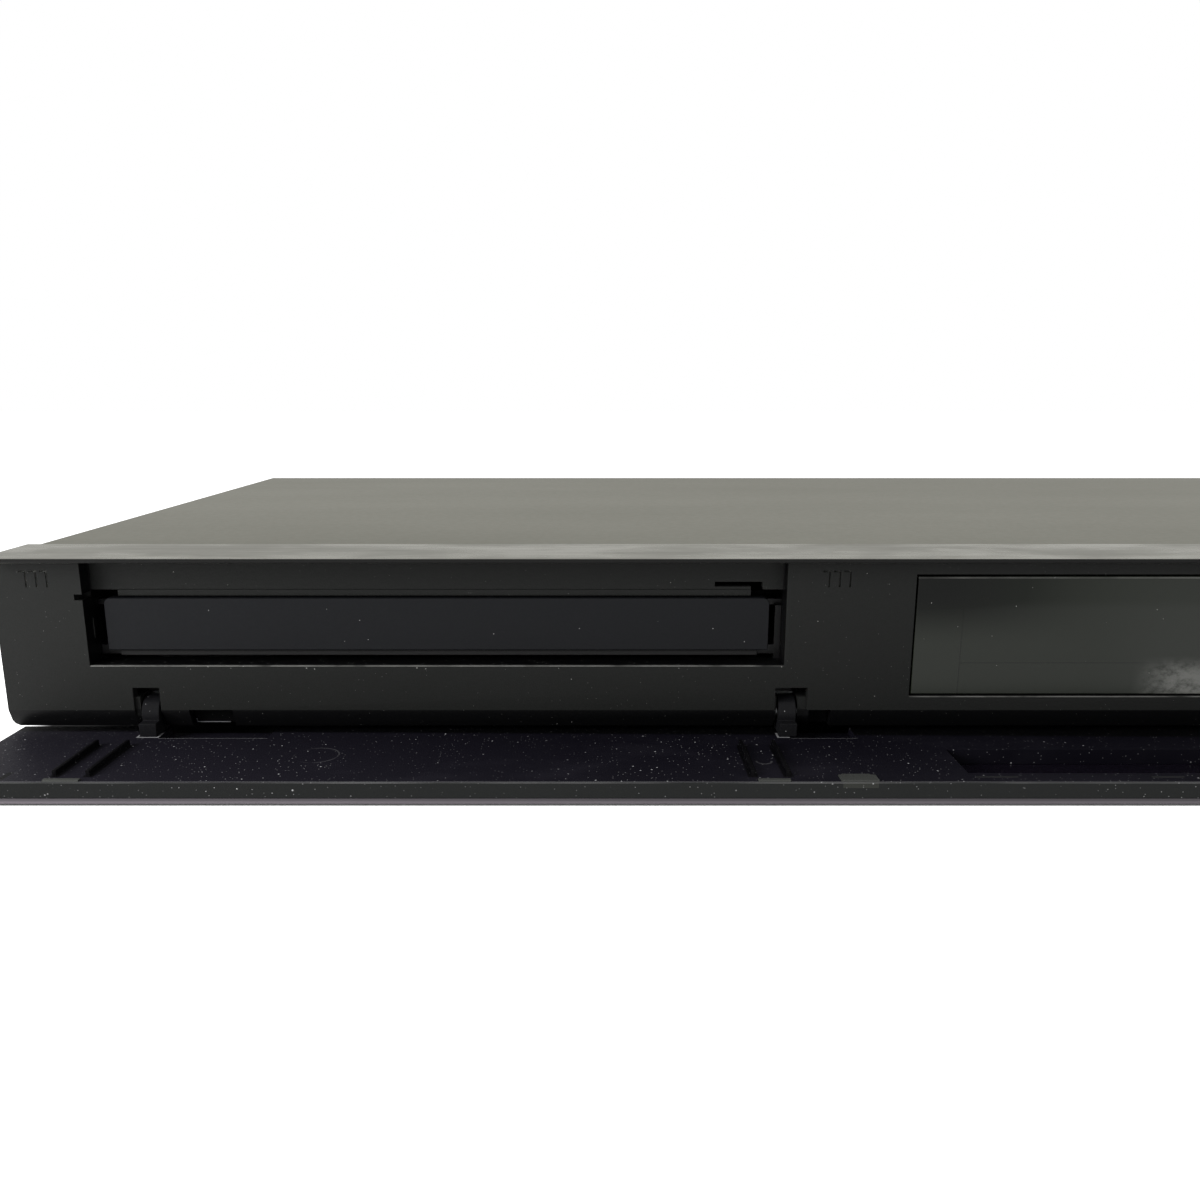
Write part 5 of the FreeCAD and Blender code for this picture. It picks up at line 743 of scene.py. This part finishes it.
# Chin latches.
# Black moulded plates behind the two gaps in the chin. The left one carries the bright bent
# edge of a small steel spring.
def extruded(form, profile, left, right):
    """A solid bar of a profile of steps and heights, from left to right."""
    ends = [[form.verts.new(at(side, step, height)) for step, height in profile] for side in (left, right)]
    form.faces.new(ends[0])
    form.faces.new(reversed(ends[1]))
    for first in range(len(profile)):
        after = (first + 1) % len(profile)
        form.faces.new((ends[0][after], ends[0][first], ends[1][first], ends[1][after]))
    return form


def shaped(name, form, radius):
    """A drawn form as a piece with rounded edges."""
    bmesh.ops.recalc_face_normals(form, faces=form.faces)
    return rounded(drawn(name, form), radius)


plates = bmesh.new()
for left, right in ((-177.5, -168.9), (-49.2, -45.1)):
    extruded(plates, [(2.4, 9.6), (3.1, 6.2), (7.4, 6.2), (7.4, 9.6)], left, right)
fit(shaped("chin_latches", plates, 0.1), "case", "black_plastic", matte_charcoal)
spring = bmesh.new()
extruded(spring, [(2.75, 6.4), (2.75, 6.25), (3.1, 6.25), (3.1, 6.4)], -177.0, -170.2)
extruded(spring, [(2.3, 7.2), (2.6, 6.25), (3.1, 6.25), (2.8, 7.2)], -177.25, -177.0)
fit(shaped("latch_spring", spring, 0.06), "case", "zinc_steel", bright_pressing)

# Buttons.
# Two plain caps at the right end of the panel, moulded in the panel's plastic. Each slides in
# its own hole.
for name, body in (("power_button", "power_cap"), ("open_close_button", "open_close_cap")):
    fit(softened(name, 0.3), body, "panel_plastic", matte_charcoal, name)

# Display window.
# A smoked acrylic pane with a thin printed line beside and under the display. Its upper left is
# painted darker as a dim reflection, its top edge has a painted highlight, and a painted glare
# lies low on it.
smoked = Finish("smoked_acrylic", (0.006, 0.0068, 0.0055), 0.2, specular_ior_level=0.12,
                coat_weight=0.5, coat_roughness=0.18)
x, _, z = smoked.across()
dust = smoked.specks(150, 0.03, 0.3) | smoked.specks(700, 0.07, 0.1) * 0.7
border = between(x, -19.3, -19.05) * (z < 31.8) | between(z, 19.7, 19.9) * between(x, -19.3, 90)
# Painted highlight along the top edge.
lit = between(z, 37.25, 37.6) * smoked.fade(smoked.noise(60, 3, (1, 0, 0)), 0.3, 0.6)
# Painted glare: a mottled whitish patch low on the pane.
painted_glare = smoked.fade(smoked.noise(45, 2) * 0.5 + smoked.noise(420, 4, (1, 1, 1.5), 0.7) * 0.5, 0.4, 0.62)
painted_glare = painted_glare * smoked.fade(x, 16, 26) * (1 - smoked.fade(z, 17, 21.5)) * (1 - smoked.fade(x, 31, 42))
# Painted dim reflection: darker towards the upper left, with a thinner coat.
dim = smoked.fade(z, 23, 34) * (1 - smoked.fade(x, -26, 14))
tone = smoked.blend(border * 0.5 | dim, (0.009, 0.0115, 0.0072), (0.0015, 0.002, 0.0015))
shade = smoked.blend(dust | painted_glare * 0.25 | lit * 0.13, tone, (0.5, 0.5, 0.47))
smoked_acrylic = smoked.vary(shade, 0.17 + smoked.noise(60, 3) * 0.06 + dust * 0.4)
gloss = 0.22 - smoked.fade(z, 30.6, 33) * 0.08 - dim * 0.26 - border * 0.05 + smoked.fade(x, 6, 26) * 0.08
smoked.tree.links.new(gloss.socket, smoked.shader.inputs["Coat Weight"])
fit(softened("display_window", 0.15), "case", "smoked_lens", smoked_acrylic, "display_window")

# Tray door.
# A smooth moulded front clipped to the tray, with rounded upper corners. A step along its foot
# is set back, with painted light on it and a painted shadow line under the face above it.
door = Finish("door_plastic", (0.0063, 0.0066, 0.0077), 0.42, specular_ior_level=0.1)
grain = door.noise(2600, 2)
dust = door.specks(620, 0.06, 0.1)
z = door.across()[2]
shade = door.blend(door.noise(18, 3), (0.0053, 0.0056, 0.0066), (0.0073, 0.0077, 0.0088))
# Painted light on the step along the foot.
shade = door.blend(z < 21.72, shade, (0.012, 0.012, 0.012))
# Painted shadow: a near black line under the face's step.
shade = door.blend(between(z, 21.45, 21.9), shade, (0.0005, 0.0005, 0.0005))
door_plastic = door.vary(door.blend(dust, shade, (0.4, 0.4, 0.4)),
                         0.36 + grain * 0.12, grain, 0.15)
fit(softened("tray_door", 0.2), "tray", "door_plastic", door_plastic, "tray_door")

# Flap.
# A moulded frame on three arms, violet-black and dusty inside, with the ring of an ejector pin.
# Painted shade darkens its ribs, its raised parts and its heel under the chin, painted light
# brightens its left end, and painted highlights lie where its heel is notched round the hinges,
# at the ribs' rear ends and along its front edge.
inner = Finish("flap_plastic", (0.004, 0.0036, 0.006), 0.5, specular_ior_level=0.07)
grain = inner.noise(2800, 2)
x, y, z = inner.across()
top = between(z, 4.6, 4.9)
HEEL_SLOPE = 0.0157


def bar_mark(left, right, near, far):
    """A mark on the flap's inner side, by its millimetres across and from the face."""
    return between(x, left, right) * between(y, near, far)


# Painted highlights along the heel's notches, at the ribs' rear ends and along the front edge.
bright_edge = bar_mark(-183.2, -160.8, -3.55, -3.2) | bar_mark(-53.6, -40, -3.55, -3.2)
for notch in (-187.4, -55.8, 183.8):
    bright_edge = bright_edge | bar_mark(notch - 0.5, notch + 4.1, -3.1, -2.6)
    for corner in (notch - 0.5, notch + 3.7):
        bright_edge = bright_edge | bar_mark(corner, corner + 0.4, -3.1, 0)
# Painted shadow: the heel under the chin, and bands beside the ribs.
heel = inner.fade(y + x * HEEL_SLOPE, -2.7, -1.3)
for rib in (-193.55, -187.35, -64.45, -57.95):
    bright_edge = bright_edge | bar_mark(rib - 0.5, rib + 0.5, -7.9, -7.5) * 0.5
    heel = heel | bar_mark(rib - 0.9, rib + 1.0, -26.3, -7.9) * 0.9
bright_edge = bright_edge | (y < -28.45) * 0.25


def from_point(across, step):
    """The square of the distance from a point on the flap's inner side."""
    return (x - across) * (x - across) + (y - step) * (y - step)


ring = between(from_point(-148.1, -13.96), 17.2, 20.2)
smile = between(from_point(-61.2, -17.5), 1.6, 2.7) * (y < -17.3)
sooty = bar_mark(-203.3, -202.2, -27.6, -23.7)
hairs = inner.fade(1 - inner.noise(120, 2, rough=0.3) % 0.5, 0.982, 0.995)
hairs = hairs * inner.fade(inner.noise(70, 1), 0.56, 0.6)
dust = (inner.specks(430, 0.085, 0.7) * 0.9 | inner.specks(1300, 0.16, 0.5) * 0.45) * \
    (inner.fade(inner.noise(33, 2), 0.36, 0.6) * 0.65 + 0.35) | hairs * 0.35
ring = ring * inner.fade(inner.noise(160, 2), 0.35, 0.6)
# Dust thins in the painted shadow, and the painted highlights are laid in with it.
dust = dust * (1 - heel * 0.8) | (bright_edge * 0.4 | ring * 0.06 | smile * 0.08) * top
haze_and_painted_light = inner.fade(inner.noise(38, 4, (1, 1.6, 1), 0.6), 0.45, 0.8)
# Painted light: lighter towards the left end.
haze_and_painted_light = haze_and_painted_light | (1 - inner.fade(x, -205, -70)) * 0.75
shade = inner.blend(haze_and_painted_light, (0.0034, 0.003, 0.0054), (0.0082, 0.0075, 0.011))
# Near black at the sooty mark, in the painted shadow and, as painted shade, on raised parts.
shade = inner.blend((sooty | heel) * top * 0.9 | (z > 4.85) * 0.85, shade, (0.0005, 0.0005, 0.0005))
flap_plastic = inner.vary(inner.blend(dust, shade, (0.45, 0.45, 0.46)), 0.46 + grain * 0.2, grain, 0.3)

lip = Finish("flap_lip", (0.007, 0.0076, 0.0074), 0.5, specular_ior_level=0.14)
grain = lip.noise(2400, 2)
dust = (lip.specks(430, 0.085, 0.7) | lip.specks(1300, 0.16, 0.5) * 0.5) * \
    (lip.fade(lip.noise(33, 2), 0.4, 0.65) * 0.7 + 0.3)
x, _, z = lip.across()
tab = between(x, -48.4, -41.9) * (z > 3.6)
shade = lip.blend(lip.noise(24, 3), (0.0052, 0.0058, 0.0056), (0.0085, 0.0093, 0.009))
shade = lip.blend(tab, shade, (0.022, 0.023, 0.02))
# Painted shade: darker towards the left end.
shade = lip.blend((1 - lip.fade(x, -240, -40)) * 0.6, shade, (0.001, 0.0013, 0.0012))
# Painted highlight along the lip's top edge.
painted_edge_highlight = (z > 4.45) * lip.fade(lip.noise(40, 2), 0.3, 0.6)
flap_lip = lip.vary(lip.blend(dust | painted_edge_highlight * 0.12, shade, (0.45, 0.45, 0.45)), 0.45 + grain * 0.15,
                    grain, 0.3)
LIP_REAR = -28
fit(two_tone(softened("flap_frame", 0.15), flap_plastic, flap_lip, LIP_REAR),
    "flap", "flap_plastic", None, "flap_frame")

# Flap arms.
# Three short arms rise from the flap to its pins, plain flat strips of the flap's plastic with
# rounded edges and a little dust.
arm = Finish("arm_plastic", (0.005, 0.005, 0.006), 0.45, specular_ior_level=0.12)
grain = arm.noise(1800, 3)
shade = arm.blend(grain, (0.0035, 0.0035, 0.0042), (0.0066, 0.0066, 0.0074))
arm_plastic = arm.vary(arm.blend(arm.specks(900, 0.1, 0.12), shade, (0.35, 0.35, 0.35)),
                       0.38 + grain * 0.2, grain, 0.3)
for name in ("left_flap_arm", "middle_flap_arm", "right_flap_arm"):
    fit(softened(name, 0.25), "flap", "flap_plastic", arm_plastic, name)

# Flap catches and clips.
# Low moulded stops between the ribs, a catch and two thin flat clips along the flap's front
# edge. They stand less than half a millimetre above its inner side.
olive = Finish("catch_plastic", (0.02, 0.021, 0.0195), 0.5, specular_ior_level=0.2)
grain = olive.noise(2400, 3)
x = olive.across()[0]
tone = olive.blend(x > -30, olive.blend(grain, (0.024, 0.025, 0.0235), (0.036, 0.0375, 0.034)),
                   (0.008, 0.008, 0.009))
catch_plastic = olive.vary(tone, 0.42 + grain * 0.2, grain, 0.25)
CLIP_FOOT, FLAP_TOP, SLANT = 4.7, 4.74, 0.25
clips = bmesh.new()
for left, right, near, far, rise in ((-194.5, -187.9, -28.7, -27.4, 0.35), (-63.8, -57.9, -28.7, -27.4, 0.35),
                                     (-48.7, -41.8, -28.7, -25.4, 0.32), (-47.9, -42.6, -25.4, -24.6, 0.18),
                                     (-23.5, -15.6, -26.5, -25.8, 0.12), (9.0, 15.0, -26.5, -25.8, 0.12)):
    crown = FLAP_TOP + rise
    extruded(clips, [(near, CLIP_FOOT), (near, FLAP_TOP + rise * 0.7), (near + SLANT, crown),
                     (far - SLANT, crown), (far, FLAP_TOP + 0.02), (far, CLIP_FOOT)], left, right)
fit(shaped("flap_clips", clips, 0.05), "flap", "flap_plastic", catch_plastic)

# Flap sheet.
# A smoked acrylic sheet bonded to the flap's outer side. Its faces are near black and glossy,
# and its cut edges show mauve.
outer = Finish("flap_sheet", (0.006, 0.004, 0.008), 0.12, specular_ior_level=0.3)
streak = outer.noise(1600, 2, (0.01, 1, 1))
dust = outer.specks(600, 0.07, 0.15)
shade = outer.blend(streak, (0.003, 0.0022, 0.0048), (0.005, 0.004, 0.007))
flap_sheet = outer.vary(outer.blend(dust, shade, (0.3, 0.3, 0.3)), 0.14 + streak * 0.1)
cut_edge = Finish("sheet_edge", (0.085, 0.074, 0.085), 0.3, specular_ior_level=0.4)
streak = cut_edge.noise(2400, 2, (0.01, 1, 1))
low, high = (corner.z * 1000 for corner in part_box("flap_panel"))
deep = cut_edge.fade(cut_edge.across()[2], low + 0.3, low + 0.75 * (high - low))
shade = cut_edge.blend(deep * 0.7 + streak * 0.3, (0.1, 0.086, 0.1), (0.02, 0.0165, 0.02))
sheet_edge = cut_edge.vary(shade, 0.25 + streak * 0.2)
fit(two_tone(softened("flap_panel", 0.08), flap_sheet, sheet_edge),
    "flap", "flap_sheet", None, "flap_panel")
